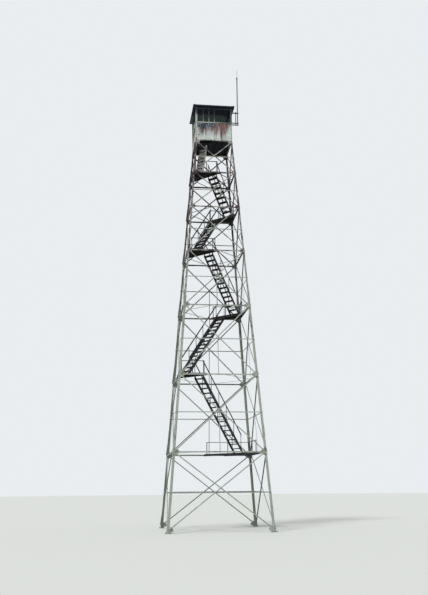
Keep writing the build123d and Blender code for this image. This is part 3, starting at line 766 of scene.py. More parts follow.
@dataclass(frozen=True)
class TowerShape:
    """The tapered outline that every part of the lattice follows."""

    heel_half: float = 2.758
    cab_half: float = 1.090
    foot_joint: float = 0.150
    top_joint_drop: float = 0.080
    bays: tuple[float, ...] = (4.010, 4.080, 3.870, 3.230, 2.680, 2.200, 2.070)
    mid_shares: tuple[float, ...] = (0.489, 0.505, 0.506, 0.508, 0.481, 0.477, 0.488)
    leg_widths: Pair = (0.130, 0.100)
    leg_splice: float = 12.500
    leg_thick: float = 0.012
    strut_half: float = 0.035
    strut_thick: float = 0.008
    strut_flange: float = 0.070
    gusset_thick: float = 0.008
    brace_thick: float = 0.006

    @property
    def leg_top(self) -> float:
        """Height of the legs: all bays together."""
        return sum(self.bays)

    @property
    def taper(self) -> float:
        """How much the half width shrinks for each metre of height."""
        return (self.heel_half - self.cab_half) / self.leg_top

    @property
    def levels(self) -> tuple[float, ...]:
        """Heights of the main struts, one between each bay and the next."""
        return tuple(sum(self.bays[:n]) for n in range(1, len(self.bays)))

    @property
    def mids(self) -> np.ndarray:
        """Heights of the struts near the middles of the bays."""
        shares = zip(self.bays, self.mid_shares)
        return np.array([sum(self.bays[:n]) + part * bay for n, (bay, part) in enumerate(shares)])

    def half_width(self, z: np.ndarray | float) -> np.ndarray | float:
        """Half width over the leg heels at a height."""
        return self.heel_half - self.taper * z

    def leg_width(self, z: np.ndarray | float) -> np.ndarray:
        """Flange width of the leg angle at a height."""
        return np.where(np.asarray(z) < self.leg_splice, *self.leg_widths)

    def leg_middle(self, z: np.ndarray | float) -> np.ndarray:
        """Distance from the middle of a face to that of a leg's flange at a height."""
        return self.half_width(z) - self.leg_width(z) / 2

    def inner(self, z: float, inset: float) -> float:
        """Distance from the centre of a surface an inset behind a face."""
        return self.half_width(z) - inset * math.hypot(1, self.taper)

    def face_out(self, turn: float) -> np.ndarray:
        """Outward direction of the face that is turned by some degrees from the front one."""
        slope = math.hypot(1, self.taper)
        return turned(np.array([0.0, -1.0, self.taper]) / slope, turn)

    def on_face(self, x: np.ndarray, z: np.ndarray | float, depth: float,
                turn: float) -> np.ndarray:
        """Points on a face: (x, -half width, z) of the front face, moved outward and turned.

        Args:
            x: Places across the face.
            z: Heights.
            depth: Distance outward from the legs' outer surface.
            turn: Degrees from the front face.

        Returns:
            Points in the tower's frame, (n, 3).
        """
        x, z = np.broadcast_arrays(np.asarray(x, float), np.asarray(z, float))
        front = np.stack([x, -self.half_width(z), z], -1)
        return turned(front, turn) + depth * self.face_out(turn)


@dataclass
class Lattice:
    """Legs, bracing, joint plates and base shoes, with their bolts and splices."""

    shape: TowerShape
    strut_joint: tuple[float, ...] = (-0.155, -0.095, 0.095, 0.155)  # bolt heights from a joint
    end_joint: Pair = (-0.055, 0.055)  # the same at the foot and head of a leg
    strut_bolts: Pair = (0.20, 0.27)  # inward from the heel of the leg
    brace_bolts: Pair = (0.10, 0.19)  # from a joint along the diagonal
    brace_bolt_radius: float = 0.015
    splice_heights: tuple[float, ...] = (5.1, 12.5, 18.25)
    splice_length: float = 0.62
    splice_thick: float = 0.010
    splice_margins: Pair = (0.004, 0.008)  # to the heel and to the edge of the flange
    splice_bolts: tuple[float, ...] = (-0.25, -0.17, -0.09, 0.09, 0.17, 0.25)
    splice_stagger: float = 0.02
    splice_bolt_radius: float = 0.014
    shoe_centre: float = 2.693
    shoe_bolt: float = 0.105
    shoe_top: float = 0.025
    rod_radius: float = 0.012
    rod_height: float = 0.055
    nut_radius: float = 0.021

    def nodes(self) -> list[str]:
        """Names of the CAD nodes of the lattice, which keep their shapes and get the zinc."""
        names = ["base_shoes", "plan_bracing", "cab_ring"] + [corner + "_leg" for corner in CORNERS]
        return names + [face + kind for face in FACES
                        for kind in ("_diagonals", "_struts", "_gussets")]

    def joint_bolts(self) -> Piece:
        """Bolts through the joint plates.

        Along a leg they stand at the middle of its flange, above and below the joint. Each outer
        diagonal has two at either end, on the line between the two joints, and each strut two
        beside the leg.

        Returns:
            All of them as one piece.
        """
        s = self.shape
        piece = Piece("joint_bolts")
        joints = (s.foot_joint,) + s.levels + (s.leg_top - s.top_joint_drop,)
        for turn in QUARTERS:
            out = s.face_out(turn)
            for side in (-1, 1):
                for joint in joints:
                    z = joint + np.array(self.strut_joint if joint in s.levels else self.end_joint)
                    piece.bolts(s.on_face(side * s.leg_middle(z), z, s.gusset_thick, turn), out)
                for z in s.levels:
                    x = side * (s.half_width(z) - np.array(self.strut_bolts))
                    piece.bolts(s.on_face(x, z, s.gusset_thick, turn), out)
                seats = s.on_face(side * s.leg_middle(s.mids), s.mids, s.gusset_thick, turn)
                piece.bolts(seats, out)
            for low, high in zip(joints, joints[1:]):
                foot = np.array([-s.leg_middle(low), low])
                head = np.array([s.leg_middle(high), high])
                run = unit(head - foot)
                for start, way in ((foot, 1), (head, -1)):
                    x, z = (start + way * np.array(self.brace_bolts)[:, None] * run).T
                    seats = s.on_face(x, z, s.gusset_thick + s.brace_thick, turn)
                    piece.bolts(seats, out, self.brace_bolt_radius)
        return piece

    def splices(self) -> tuple[Piece, Piece]:
        """Cover plates over the leg joints and their bolts.

        A plate's ends lie on the face, half its length above and below the joint and a margin and
        half its width in from the heel, so that it leans as the leg does.

        Returns:
            The plates, and the bolts in two staggered columns on each.
        """
        s = self.shape
        plates, bolts = Piece("leg_splice_plates"), Piece("leg_splice_bolts")
        half = self.splice_length / 2
        dz = np.array(self.splice_bolts)
        shift = self.splice_stagger * (-1.0) ** np.arange(len(dz))
        for turn in QUARTERS:
            for side in (-1, 1):
                for z in self.splice_heights:
                    wide = float(s.leg_width(z + half)) - sum(self.splice_margins)
                    inward = wide / 2 + self.splice_margins[0]
                    ends = np.array([z - half, z + half])
                    x = side * (s.half_width(ends) - inward)
                    low, high = s.on_face(x, ends, 0.0, turn)
                    section = rectangle(-wide / 2, wide / 2, -self.splice_thick, 0.0)
                    plates.prisms(section, low, high, turned(X_AXIS, turn))
                    x = side * (s.half_width(z + dz) - inward) + shift
                    seats = s.on_face(x, z + dz, self.splice_thick, turn)
                    bolts.bolts(seats, s.face_out(turn), self.splice_bolt_radius)
        return plates, bolts

    def anchors(self) -> Piece:
        """Anchor rods with nuts that stand through the four base shoes.

        Their x and y are the shoe's centre plus or minus the offset of its bolt holes.

        Returns:
            All of them as one piece.
        """
        piece = Piece("shoe_anchors")
        corners = np.array([(-1, -1), (1, -1), (-1, 1), (1, 1)])
        spots = self.shoe_centre * corners[:, None] + self.shoe_bolt * corners[None]
        foot = np.column_stack([spots.reshape(-1, 2), np.full(spots.size // 2, self.shoe_top)])
        piece.bolts(foot, UP, self.nut_radius)
        rod = round_section(self.rod_radius, 8)
        piece.prisms(rod, foot, foot + self.rod_height * UP, X_AXIS)
        return piece

    def build(self, finishes: Finishes) -> None:
        """Dresses the CAD nodes and adds bolts, splices and anchors.

        Args:
            finishes: The materials by name; the front bracing gets the paler zinc, a copy lit by
                painted light.
        """
        for name in self.nodes():
            # the front bracing takes the copy of the zinc that painted light makes paler
            lit_side = name in ("front_diagonals", "front_struts")
            dress(name, finishes["lit_zinc" if lit_side else "zinc"])
        self.joint_bolts().make(finishes["bolt"], "steel")
        plates, bolts = self.splices()
        plates.make(finishes["zinc"], "steel", bevel_mm=1.5)
        bolts.make(finishes["bolt"], "steel")
        self.anchors().make(finishes["bolt"], "steel")


@dataclass
class Landing:
    """Three-sided plank deck in a corner of the tower, with its bearers and guard rails.

    It is drawn for the rear right corner. A place in plan is (d, a): d runs from the centre of the
    tower towards the corner, a across that. The open edge is where x + y equals the edge.
    """

    shape: TowerShape
    index: int
    edge: float
    deck: float = 0.040
    inset: float = 0.060
    board: float = 0.140
    gap: float = 0.009
    tip_cut: float = 0.012  # from the deck's corner to its last plank
    bearer: Pair = (0.012, 0.090)  # thickness and depth
    second_bearer: float = 0.45  # its place from the open edge to the corner
    play: float = 0.002  # between bearers and struts
    lap: float = 0.0003  # keeps touching faces apart
    guard_height: float = 0.640
    guard_inset: float = 0.085
    guard_post: Pair = (0.040, 0.006)  # width and thickness of its angle
    guard_rail: float = 0.030
    guard_lead: float = 0.060  # from the open edge to the first post
    guard_back: float = 0.420  # the same where the foot of a flight is in the way
    beside_flight: float = 0.807  # from the middle plane to the outside of a flight and a post

    @property
    def name(self) -> str:
        """Name of its CAD node."""
        return "landing_%d" % (self.index + 1)

    @property
    def corner_sign(self) -> int:
        """Corners alternate: 1 in the rear right one, -1 in the front left one."""
        return 1 if self.index % 2 == 0 else -1

    @property
    def seat(self) -> float:
        """Height of the strut tops that the deck lies on."""
        return self.shape.levels[self.index] + self.shape.strut_half

    @property
    def reach(self) -> float:
        """Distance from the centre of the tower to the deck's two outer edges."""
        return self.shape.inner(self.seat + self.deck, self.inset)

    @property
    def start(self) -> float:
        """Distance from the centre of the tower to the open edge, towards the corner."""
        return self.edge / math.sqrt(2)

    @property
    def tip(self) -> float:
        """Distance from the centre of the tower to the deck's corner."""
        return self.reach * math.sqrt(2)

    @property
    def turn(self) -> float:
        """Degrees from the rear right corner to this landing's own corner."""
        return 0.0 if self.corner_sign > 0 else 180.0

    def planks(self) -> Piece:
        """Deck planks parallel to the open edge.

        At a distance d from the centre, measured towards the corner, the deck is as wide as twice
        the distance that is left to its tip, so each plank is a trapezium in plan. Its section's x
        is the place along the plank, and its y is -d.

        Returns:
            All planks as one piece.
        """
        piece = Piece(self.name + "_planks")
        tip, start = self.tip, self.start
        count = max(2, round((tip - start) / (self.board + self.gap)))
        near = start + (tip - start) * np.arange(count) / count
        far = near + (tip - start) / count - self.gap
        far[-1] = tip - self.tip_cut
        corners = ((far - tip, -far), (tip - far, -far), (tip - near, -near), (near - tip, -near))
        outline = np.stack([np.stack(corner, -1) for corner in corners], 1)
        piece.slab(outline, self.seat, self.seat + self.deck, self.turn + 135, seed=self.index)
        return piece

    def steelwork(self) -> Piece:
        """Two plates on edge under the deck, notched under the strut flanges, and the guard rails.

        At a distance d from the centre a plate is as long as twice limit * sqrt(2) - d. The limit
        is where the struts' webs stand, or higher up where their flanges end.

        Returns:
            All of it as one piece.
        """
        s = self.shape
        piece = Piece(self.name + "_frame")
        low_limit = s.inner(self.seat, s.leg_thick + s.strut_thick) - self.play
        high_limit = s.inner(self.seat, s.leg_thick) - s.strut_flange - self.play
        under = self.seat - s.strut_thick - self.lap
        thick, deep = self.bearer
        layers = ((low_limit, self.seat - deep, under), (high_limit, under, self.seat))
        for near in (self.start, self.start + self.second_bearer * (self.tip - self.start)):
            far = near + thick
            for limit, z0, z1 in layers:
                near_half = limit * math.sqrt(2) - near
                far_half = near_half - thick
                outline = [(near, -near_half), (far, -far_half), (far, far_half), (near, near_half)]
                piece.slab(np.array(outline), z0, z1, self.turn + 45)
        self.guard(piece)
        return piece

    def guard(self, piece: Piece) -> None:
        """Adds the angle posts and the top rails along the two outer sides.

        They stand on the lines x = line and y = line: a post in the corner, one at either end and
        one half way between.

        Args:
            piece: The piece that gathers them.
        """
        line = self.reach - self.guard_inset
        end = self.edge - line + self.guard_lead
        if end >= line - self.beside_flight * math.sqrt(2):
            end = self.edge - line + self.guard_back
        z0 = self.seat + self.deck
        z1 = z0 + self.guard_height
        wide, thick = self.guard_post
        half = wide / 2
        middle = (end + line) / 2
        post = half - angle_section(wide, wide, thick)
        for spot in ((line, line), (middle, line), (end, line), (line, middle), (line, end)):
            piece.slab(post + spot, z0, z1, self.turn)
        rail = rectangle(-half, half, 0.0, self.guard_rail)
        side_x = ((end - half, line, z1), (line + half, line, z1))
        side_y = ((line, end - half, z1), (line, line - half, z1))
        for side in (side_x, side_y):
            a, b = turned(np.array(side), self.turn)
            piece.prisms(rail, a, b, np.cross(UP, b - a))

    def build(self, finishes: Finishes) -> None:
        """Builds the landing in place of its CAD node."""
        self.planks().make(finishes["plank"], "timber", bevel_mm=4.0, stands_for=(self.name,))
        self.steelwork().make(finishes["stair"], "stair_steel")


@dataclass
class Flight:
    """Open flight between two landings: plates for stringers, planks for treads, two handrails.

    It is drawn along x from the upper landing's edge, then turned so that x runs from corner to
    corner.
    """

    upper: Landing
    lower: Landing
    outer: float = 0.755  # from the middle plane of the tower to the outer stringer
    inner: float = 0.165
    stringer: Pair = (0.010, 0.165)  # thickness and width
    stringer_drop: float = 0.010  # its top end below the deck
    stringer_past: float = 0.020  # its lower edge reaches past the lower deck's edge
    tread: Pair = (0.240, 0.040)  # depth and thickness
    tread_forward: float = 0.030
    tread_sag: float = 0.002  # from the lowest end to the highest
    cleat: Pair = (0.045, 0.005)  # width and thickness of its angle
    cleat_half: float = 0.080  # half its length
    riser: float = 0.238
    rail_height: float = 0.650
    rail: Pair = (0.016, 0.070)  # thickness and height
    post: Pair = (0.040, 0.012)  # width and thickness
    post_spacing: float = 0.700
    post_inset: float = 0.030
    post_foot: float = 0.010
    post_bolts: Pair = (0.050, 0.130)  # from the foot of a post
    post_bolt_radius: float = 0.011
    lap: float = 0.0003  # keeps touching faces apart

    def __post_init__(self) -> None:
        """Works out where the flight starts and lands and how steep it is.

        The steepness s solves drop - w * sqrt(1 + s * s) = s * reach for a plate of width w.
        """
        self.number = self.upper.index
        self.turn = 225.0 if self.upper.corner_sign > 0 else 45.0  # towards the lower corner
        self.top = self.upper.seat + self.upper.deck
        self.bottom = self.lower.seat + self.lower.deck
        x_top = -self.upper.start
        self.x0 = x_top + self.lap
        self.z0 = self.top - self.stringer_drop
        self.foot = self.bottom + self.lap
        w = self.stringer[1]
        reach = self.lower.start + self.stringer_past - x_top
        drop = self.z0 - self.bottom
        root = math.sqrt(drop ** 2 + reach ** 2 - w ** 2)
        self.steep = (drop * reach - w * root) / (reach ** 2 - w ** 2)
        self.deep = w * math.sqrt(1 + self.steep ** 2)
        self.run = (self.z0 - self.deep - self.foot) / self.steep

    def line(self, x: np.ndarray | float) -> np.ndarray | float:
        """Height of the stringers' upper edge at a place along the flight."""
        return self.z0 - self.steep * (x - self.x0)

    def tread_places(self) -> tuple[np.ndarray, np.ndarray]:
        """Places of the treads, at even heights and half way down the stringers' width.

        Returns:
            Their middles along the flight, and the heights of their tops.
        """
        count = round((self.top - self.bottom) / self.riser)
        z = self.top - np.arange(1, count) * (self.top - self.bottom) / count
        x = self.x0 + (self.z0 - self.deep / 2 - z) / self.steep + self.tread_forward
        return x, z

    def stringers(self) -> Piece:
        """The two stringer plates with the cleats that carry the treads.

        A plate lies between the line of its upper edge and that line lowered by its upright depth.
        It is cut upright at the top and level at the foot.

        Returns:
            All of it as one piece.
        """
        piece = Piece("flight_%d_stringers" % self.number)
        thick = self.stringer[0]
        heel = self.x0 + (self.z0 - self.foot) / self.steep
        outline = [(self.x0, self.z0 - self.deep), (self.x0 + self.run, self.foot),
                   (heel, self.foot), (self.x0, self.z0)]
        for y in (-self.outer, -self.inner - thick):
            piece.side_plate(outline, y, y + thick, self.turn)
        x, z = self.tread_places()
        wide, flange = self.cleat
        angle = angle_section(wide, wide, flange)
        sides = ((-self.outer + thick, (angle * (1, -1))[::-1]), (-self.inner - thick, -angle))
        for y, section in sides:
            middle = np.stack([x, np.full_like(x, y), z - self.tread[1]], -1)
            ends = [turned(middle + way * self.cleat_half * X_AXIS, self.turn) for way in (-1, 1)]
            piece.prisms(section, *ends, turned(Y_AXIS, self.turn))
        return piece

    def treads(self) -> Piece:
        """One plank for each step, its front top edge worn round, a little out of true with age.

        The ends rise or sink by up to a millimetre, by a fixed random row.

        Returns:
            All treads as one piece.
        """
        piece = Piece("flight_%d_treads" % self.number)
        x, z = self.tread_places()
        depth, thick = self.tread
        worn, nose = 0.012, 0.004
        front = depth / 2
        section = np.array([(-front, -thick), (front, -thick), (front, -worn),
                            (front - nose, -nose), (front - worn, 0.0), (-front, 0.0)])
        sag = self.tread_sag * (np.random.default_rng(self.number).random((2, len(x))) - 0.5)
        ends = (-self.inner - self.stringer[0], -self.outer + self.stringer[0])
        start, end = (turned(np.stack([x, np.full_like(x, y), z + shift], -1), self.turn)
                      for y, shift in zip(ends, sag))
        piece.prisms(section, start, end, turned(X_AXIS, self.turn), seed=10 + self.number)
        return piece

    def handrails(self) -> Piece:
        """Flat posts bolted to the outsides of the stringers and a bar along their tops.

        Evenly spaced posts reach from just over the stringer's lower edge to the rail height over
        its upper edge. The bar's lower edge is the upper edge's line raised by that height.

        Returns:
            All of it as one piece.
        """
        piece = Piece("flight_%d_handrails" % self.number)
        wide, thick = self.post
        count = max(2, round(self.run / self.post_spacing) + 1)
        free = self.run - 2 * self.post_inset - wide
        x = self.x0 + self.post_inset + free * np.arange(count) / (count - 1)
        foot = self.line(x) - self.deep + self.post_foot
        head = self.line(x) + self.rail_height
        end = self.x0 + self.run
        slant = self.rail[1] * math.sqrt(1 + self.steep ** 2)
        rail = [(self.x0, self.z0), (end, self.line(end)),
                (end, self.line(end) + slant), (self.x0, self.z0 + slant)]
        rail = np.array(rail) + (0.0, self.rail_height)
        for y, way in ((-self.outer, -1), (-self.inner, 1)):
            y0, y1 = sorted((y, y + way * thick))
            for a, low, high in zip(x, foot, head):
                b = a + wide
                sides = [(a, low), (b, low), (b, high - self.steep * wide), (a, high)]
                piece.side_plate(sides, y0, y1, self.turn)
            middle = (y0 + y1) / 2
            half = self.rail[0] / 2
            piece.side_plate(rail, middle - half, middle + half, self.turn)
            face = np.full_like(x, y + way * thick)
            seats = [np.stack([x + wide / 2, face, foot + up], -1) for up in self.post_bolts]
            out = turned(way * Y_AXIS, self.turn)
            piece.bolts(turned(np.concatenate(seats), self.turn), out, self.post_bolt_radius)
        return piece

    def build(self, finishes: Finishes) -> None:
        """Builds the flight in place of its CAD node.

        Args:
            finishes: The materials by name.
        """
        node = "stair_flight_%d" % self.number
        self.stringers().make(finishes["stair"], "stair_steel", bevel_mm=1.5, stands_for=(node,))
        self.treads().make(finishes["plank"], "timber")
        self.handrails().make(finishes["stair"], "stair_steel")


@dataclass
class Stairs:
    """Landings in alternate corners, from the lowest up, and the flights between them."""

    shape: TowerShape
    edges: tuple[float, ...] = (2.100, 2.700, 1.860, 1.450, 1.200, 0.850)

    def build(self, finishes: Finishes) -> None:
        """Builds the landings, then the flights.

        Args:
            finishes: The materials by name.
        """
        landings = [Landing(self.shape, index, edge) for index, edge in enumerate(self.edges)]
        for landing in landings:
            landing.build(finishes)
        for lower, upper in zip(landings, landings[1:]):
            Flight(upper, lower).build(finishes)


@dataclass
class CabLadder:
    """Steep ladder stair of two boards with nine rises, from the top landing into the cab."""

    foot: Triple = (-0.860, -0.620, 20.1453)
    head: Triple = (-0.520, -0.020, 22.290)
    width: float = 0.440
    deep: float = 0.130
    boards: Pair = (0.045, 0.010)  # thickness of the pale right one and the dark left one
    rises: int = 9
    tread: float = 0.025
    riser: Pair = (0.012, 0.027)  # thickness, and how much lower it is than a rise

    def build(self, finishes: Finishes) -> None:
        """Builds the ladder in place of its CAD node: two boards, treads and closed risers.

        Along the ladder's own x, a board is a parallelogram that leans by its run over its rise.

        Args:
            finishes: The materials by name.
        """
        (x0, y0, z0), (x1, y1, z1) = self.foot, self.head
        run, rise = math.hypot(x1 - x0, y1 - y0), z1 - z0
        heading = math.degrees(math.atan2(y1 - y0, x1 - x0))
        along, at = turned(X_AXIS, heading), np.array([x0, y0, 0.0])
        outline = [(0.0, z0), (self.deep, z0), (run + self.deep, z1), (run, z1)]
        half = self.width / 2
        right, left = self.boards[0] - half, half - self.boards[1]
        # the left board's dark olive is painted shade of the ladder's pale green board
        sides = (("ladder_right_board", -half, right, "pale_board"),
                 ("ladder_left_board", left, half, "shaded_board"))
        for name, near, far, finish in sides:
            piece = Piece(name)
            piece.side_plate(outline, near, far, heading, at)
            piece.make(finishes[finish], "stair_steel", bevel_mm=2.0, stands_for=("cab_ladder",))
        share = np.arange(1, self.rises) / self.rises
        start, end = (turned(np.stack([share * run, np.full_like(share, y), z0 + share * rise], -1),
                             heading) + at for y in (left, right))
        steps = Piece("ladder_steps")
        steps.prisms(rectangle(0.0, self.deep, -self.tread, 0.0), start, end, along, seed=5)
        steps.make(finishes["plank"], "timber", bevel_mm=3.0)
        thick, lower = self.riser
        board = rectangle(self.deep - thick, self.deep, 0.0, rise / self.rises - lower)
        risers = Piece("ladder_risers")
        risers.prisms(board, start[:-1], end[:-1], along, seed=6)
        risers.make(finishes["riser"], "timber")


@dataclass
class Cab:
    """Square cab: sheet clad walls with cover strips, window band, boarded ceiling and floor."""

    face: float = 1.082  # from the middle to the outer side of a wall
    foot: float = 22.152
    wall_top: float = 23.250
    sill: float = 23.320
    lintel: float = 24.200  # underside of the eave beam
    strips: tuple[float, ...] = (-0.72, -0.24, 0.24, 0.72)
    strip: Pair = (0.045, 0.005)  # width and thickness
    sunk: float = 0.001  # how far trim reaches into the wall
    band_half: float = 0.989  # half length of the drip edge and the sill flashing
    drip: Pair = (0.045, 0.007)  # height and thickness of the drip edge
    flashing: Triple = (-0.012, 0.020, 0.0075)  # from and to the wall's top, and thickness
    nail_spacing: float = 0.11
    nail_ends: Pair = (0.09, 0.03)  # lowest above the foot, highest below the wall's top
    nail_radius: float = 0.006
    bead: Triple = (0.002, 0.014, 0.022)  # from and to the face, inward, and height
    bead_half: float = 1.011

    def cladding(self) -> tuple[Piece, Piece]:
        """Cover strips over the sheet joints with their nails, the drip edge and the flashing.

        A strip is an upright bar on the wall, with nails up it at equal steps of height. The
        drip edge and the flashing are level bars as long as the wall, less its corner posts.

        Returns:
            The strips and bands, and the rows of nails.
        """
        strips, nails = Piece("cladding_strips"), Piece("cladding_nails")
        wide, thick = self.strip
        lap = self.wall_top + self.flashing[0]
        bands = ((self.foot + self.sunk, self.foot + self.drip[0], self.drip[1]),
                 (lap, self.wall_top + self.flashing[1], self.flashing[2]))
        low, high = self.nail_ends
        z = np.arange(self.foot + low, self.wall_top - high, self.nail_spacing)
        inner = self.sunk - self.face
        for turn in QUARTERS:
            for x in self.strips:
                outline = rectangle(x - wide / 2, x + wide / 2, -self.face - thick, inner)
                strips.slab(outline, self.foot + self.drip[0], lap, turn)
                seats = np.stack([np.full_like(z, x), np.full_like(z, -self.face - thick), z], -1)
                nails.bolts(turned(seats, turn), turned(-Y_AXIS, turn), self.nail_radius)
            for z0, z1, out in bands:
                outline = rectangle(-self.band_half, self.band_half, -self.face - out, inner)
                strips.slab(outline, z0, z1, turn)
        return strips, nails

    def window_trim(self) -> Piece:
        """Thin beads along the window band, on the sill and under the beam, on each side.

        A bead is a level bar from one corner post to the next, set back from the wall's face.

        Returns:
            All of them as one piece.
        """
        piece = Piece("window_beads")
        near, far, tall = self.bead
        outline = rectangle(-self.bead_half, self.bead_half, near - self.face, far - self.face)
        for turn in QUARTERS:
            for z0 in (self.sill, self.lintel - tall):
                piece.slab(outline, z0, z0 + tall, turn)
        return piece

    def build(self, finishes: Finishes) -> None:
        """Dresses the cab's CAD nodes and adds its trim.

        Args:
            finishes: The materials by name.
        """
        for face in FACES:
            dress(face + "_wall", finishes["sheet"])
        # the eave beams take the near-black joist finish as the roof's painted shadow; trim and
        # sill carry painted shade of the eaves
        nodes = {"corner_posts": "trim", "window_mullions": "trim", "sill_rails": "sill",
                 "eave_beams": "joist", "soffit": "ceiling", "cab_floor": "floor",
                 "floor_joists": "joist"}
        for node, finish in nodes.items():
            dress(node, finishes[finish])
        strips, nails = self.cladding()
        strips.make(finishes["sheet"], "cab_sheet")
        nails.make(finishes["bolt"], "cab_sheet")
        self.window_trim().make(finishes["trim"], "timber")


@dataclass
class Roof:
    """Low hip roof of flat sheets with standing seams, capped along the hips."""

    base: float = 24.322
    half: float = 1.235
    edge: float = 0.040
    rise: float = 0.320
    top_half: float = 0.035
    seam_spacing: float = 0.39
    seam: Triple = (0.018, -0.003, 0.026)  # width, and its foot and head over the sheet
    seam_ends: Pair = (0.004, 0.010)  # from the eave, and from the hip line
    seam_margin: float = 0.1  # from the outermost seam to the corner, at least
    cap_half: float = 0.06
    cap_inset: float = 0.012
    cap_lift: float = 0.004
    drip: Pair = (0.004, 0.001)  # how far the drip strip stands out and reaches in
    drip_ends: Pair = (-0.014, 0.002)  # below the base and above the edge

    def height(self, reach: np.ndarray | float) -> np.ndarray | float:
        """Height of the roof where a slope has come a distance from the centre."""
        share = (self.half - reach) / (self.half - self.top_half)
        return self.base + self.edge + self.rise * share

    def seams(self) -> Piece:
        """Standing seams up each slope, from the eave to the hip line.

        A seam at a place x across its slope ends where the slope's own reach equals |x|.

        Returns:
            All seams as one piece.
        """
        piece = Piece("roof_seams")
        x = self.seam_spacing * np.arange(-2.5, 3.0, 1.0)  # none in the middle of a slope
        x = x[np.abs(x) < self.half - self.seam_margin]
        wide, under, over = self.seam
        eave = np.full_like(x, self.half - self.seam_ends[0])
        hip = np.maximum(np.abs(x), self.top_half) + self.seam_ends[1]
        ends = [np.stack([x, -reach, self.height(reach)], -1) for reach in (eave, hip)]
        for turn in QUARTERS:
            low, high = (turned(end, turn) for end in ends)
            section = rectangle(-wide / 2, wide / 2, under, over)
            piece.prisms(section, low, high, turned(X_AXIS, turn))
        return piece

    def caps(self) -> Piece:
        """Folded cap along each of the four hips, and a drip strip round the eave.

        A cap's section is a low V upside down, carried along the hip from (-reach, -reach) at the
        eave to the same at the top.

        Returns:
            All of it as one piece.
        """
        piece = Piece("roof_caps")
        half, thick, fold = self.cap_half, 0.004, 0.008
        section = np.array([(-half, -fold), (0.0, fold - thick), (half, -fold),
                            (half, thick - fold), (0.0, fold + thick), (-half, thick - fold)])
        reaches = (self.half - self.cap_inset, self.top_half)
        ends = [np.array([-reach, -reach, self.height(reach) + self.cap_lift]) for reach in reaches]
        outer = self.half + self.drip[0]
        strip = rectangle(-outer, outer, -outer, self.drip[1] - self.half)
        z0, z1 = self.base + self.drip_ends[0], self.base + self.edge + self.drip_ends[1]
        for turn in QUARTERS:
            low, high = (turned(end, turn) for end in ends)
            piece.prisms(section, low, high, turned(X_AXIS - Y_AXIS, turn))
            piece.slab(strip, z0, z1, turn)
        return piece

    def build(self, finishes: Finishes) -> None:
        """Dresses the roof and adds its seams and caps.

        Args:
            finishes: The materials by name.
        """
        dress("roof", finishes["roof"])
        self.seams().make(finishes["roof"], "roof_sheet")
        self.caps().make(finishes["roof"], "roof_sheet")


@dataclass
class Antenna:
    """Whip antenna on bracket arms beside the cab, with its clamps."""

    arm_y: float = -1.040
    arm_tops: Pair = (23.369, 24.024)  # of the two arms that clasp the tubes
    tubes: tuple[Pair, ...] = ((1.330, 0.026), (1.440, 0.031))  # place along x and radius
    collar: Pair = (0.009, 0.028)  # thickness and height
    insulator: Triple = (0.008, 26.270, 26.380)  # thickness, foot and head

    def clamps(self) -> Piece:
        """Collars on the tubes above the arms and the insulator under the whip.

        Each is an upright prism on a circle with the tube's radius plus the collar's thickness.

        Returns:
            All of them as one piece.
        """
        piece = Piece("antenna_clamps")
        thick, tall = self.collar
        rings = [(tube, thick, z, z + tall) for tube in self.tubes for z in self.arm_tops]
        for (x, radius), wall, z0, z1 in rings + [(self.tubes[1], *self.insulator)]:
            low, high = np.array([(x, self.arm_y, z0), (x, self.arm_y, z1)])
            piece.prisms(round_section(radius + wall, 12), low, high, X_AXIS)
        return piece

    def build(self, finishes: Finishes) -> None:
        """Dresses the antenna and adds its clamps.

        Args:
            finishes: The materials by name.
        """
        dress("antenna_mast", finishes["mast"])
        dress("antenna_arms", finishes["clamp"])
        self.clamps().make(finishes["clamp"], "antenna_metal")


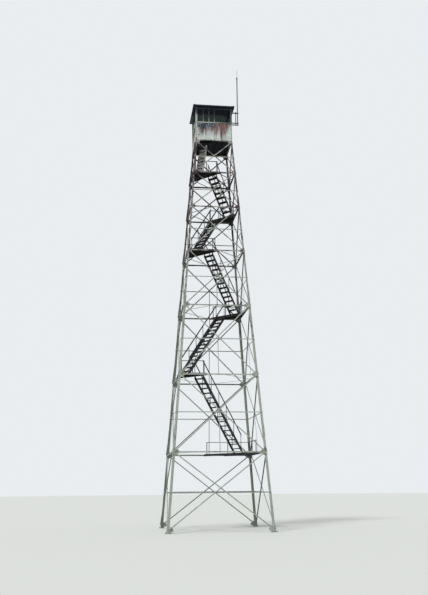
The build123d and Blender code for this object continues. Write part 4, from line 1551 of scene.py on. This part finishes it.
@dataclass
class Studio:
    """Pale floor and backdrop, soft light, and the camera at the photograph's viewing angle."""

    floor: str = "#cdd0cc"
    floor_bounce: str = "#7d8279"  # what the tower sees of the floor, so that it stays dark below
    floor_radius: float = 160.0
    floor_sides: int = 96
    floor_z: float = -0.001
    floor_rough: float = 0.9
    backdrop: str = "#e9edf0"
    sky: float = 0.6
    sun: float = 2.1
    sun_size: float = 12.0  # degrees across, for soft shadow edges
    sun_from: Pair = (-42.0, 56.0)  # degrees to the side of -Y and above the ground
    eye: Triple = (-5.24, -42.05, 2.34)
    pan: float = 7.18
    tilt: float = 13.91
    roll: float = -0.49
    lens_px: float = 757.2
    frame_px: float = 595.0
    sensor_mm: float = 36.0
    clip_end: float = 400.0

    def place(self, name: str, data: bpy.types.ID) -> bpy.types.Object:
        """Puts a new object of some data into the scene.

        Args:
            name: Its name.
            data: Mesh, lamp or camera.

        Returns:
            The object.
        """
        thing = bpy.data.objects.new(name, data)
        bpy.context.scene.collection.objects.link(thing)
        return thing

    def set_world(self) -> None:
        """Even light from all round; what the camera and reflections see is the pale backdrop."""
        world = bpy.data.worlds.new("studio")
        bpy.context.scene.world = world
        r = Recipe("studio", world)
        light = r.tree.nodes["Background"]
        r.feed(light, "#ffffff", self.sky)
        seen = r.add("Background", self.backdrop)
        rays = r.add("LightPath").node.outputs
        plain = rays["Is Camera Ray"]
        for kind in ("Glossy", "Transmission"):
            plain = r.add("Math", plain, rays["Is %s Ray" % kind], operation="MAXIMUM")
        r.feed(r.tree.nodes["World Output"], r.add("MixShader", plain, light.outputs[0], seen))

    def add_light(self) -> None:
        """One broad sun from the front left, high up."""
        lamp = bpy.data.lights.new("key", "SUN")
        lamp.energy = self.sun
        lamp.angle = math.radians(self.sun_size)
        side, up = (math.radians(a) for a in self.sun_from)
        flat = math.cos(up)
        towards = Vector((math.sin(side) * flat, -math.cos(side) * flat, math.sin(up)))
        self.place("key", lamp).rotation_euler = towards.to_track_quat("Z", "Y").to_euler()

    def add_floor(self) -> None:
        """A plain round floor, its rim at radius * (cos a, sin a); it throws little light back."""
        mesh = bpy.data.meshes.new("studio_floor")
        rim = round_section(self.floor_radius, self.floor_sides)
        rim = np.column_stack([rim, np.full(len(rim), self.floor_z)])
        mesh.from_pydata(rim.tolist(), [], [list(range(len(rim)))])
        r = Recipe("studio_floor")
        seen = r.add("LightPath", out="Is Camera Ray")
        colour = r.add("Mix", seen, **COLOURS, A=self.floor_bounce, B=self.floor)
        r.feed(r.shader, Base_Color=colour, Roughness=self.floor_rough)
        mesh.materials.append(r.owner)
        thing = self.place("studio_floor", mesh)

    def add_camera(self) -> None:
        """Camera from the fitted pan, tilt and roll, in degrees, and focal length in pixels."""
        pan, tilt, roll = (math.radians(a) for a in (self.pan, self.tilt, self.roll))
        flat = math.cos(tilt)
        ahead = Vector((math.sin(pan) * flat, math.cos(pan) * flat, math.sin(tilt)))
        right = Vector((math.cos(pan), -math.sin(pan), 0.0))
        up = right.cross(ahead)
        side = right * math.cos(roll) + up * math.sin(roll)
        top = up * math.cos(roll) - right * math.sin(roll)
        camera = bpy.data.cameras.new("photograph_view")
        camera.sensor_width = self.sensor_mm
        camera.lens = self.lens_px * self.sensor_mm / self.frame_px
        camera.clip_end = self.clip_end
        thing = self.place("photograph_view", camera)
        turn = Matrix((side, top, -ahead)).transposed()
        thing.matrix_world = Matrix.Translation(self.eye) @ turn.to_4x4()
        bpy.context.scene.camera = thing

    def build(self) -> None:
        """Sets up the whole studio."""
        bpy.context.scene.view_settings.view_transform = "Standard"
        self.set_world()
        self.add_light()
        self.add_floor()
        self.add_camera()


def main() -> None:
    """Builds the tower's looks in order."""
    logging.basicConfig(level=logging.INFO, format="%(message)s")
    finishes = make_finishes()
    shape = TowerShape()
    for part in (Lattice(shape), Stairs(shape), CabLadder(), Cab(), Roof(), Antenna()):
        part.build(finishes)
    Studio().build()


if __name__ == "__main__":
    main()
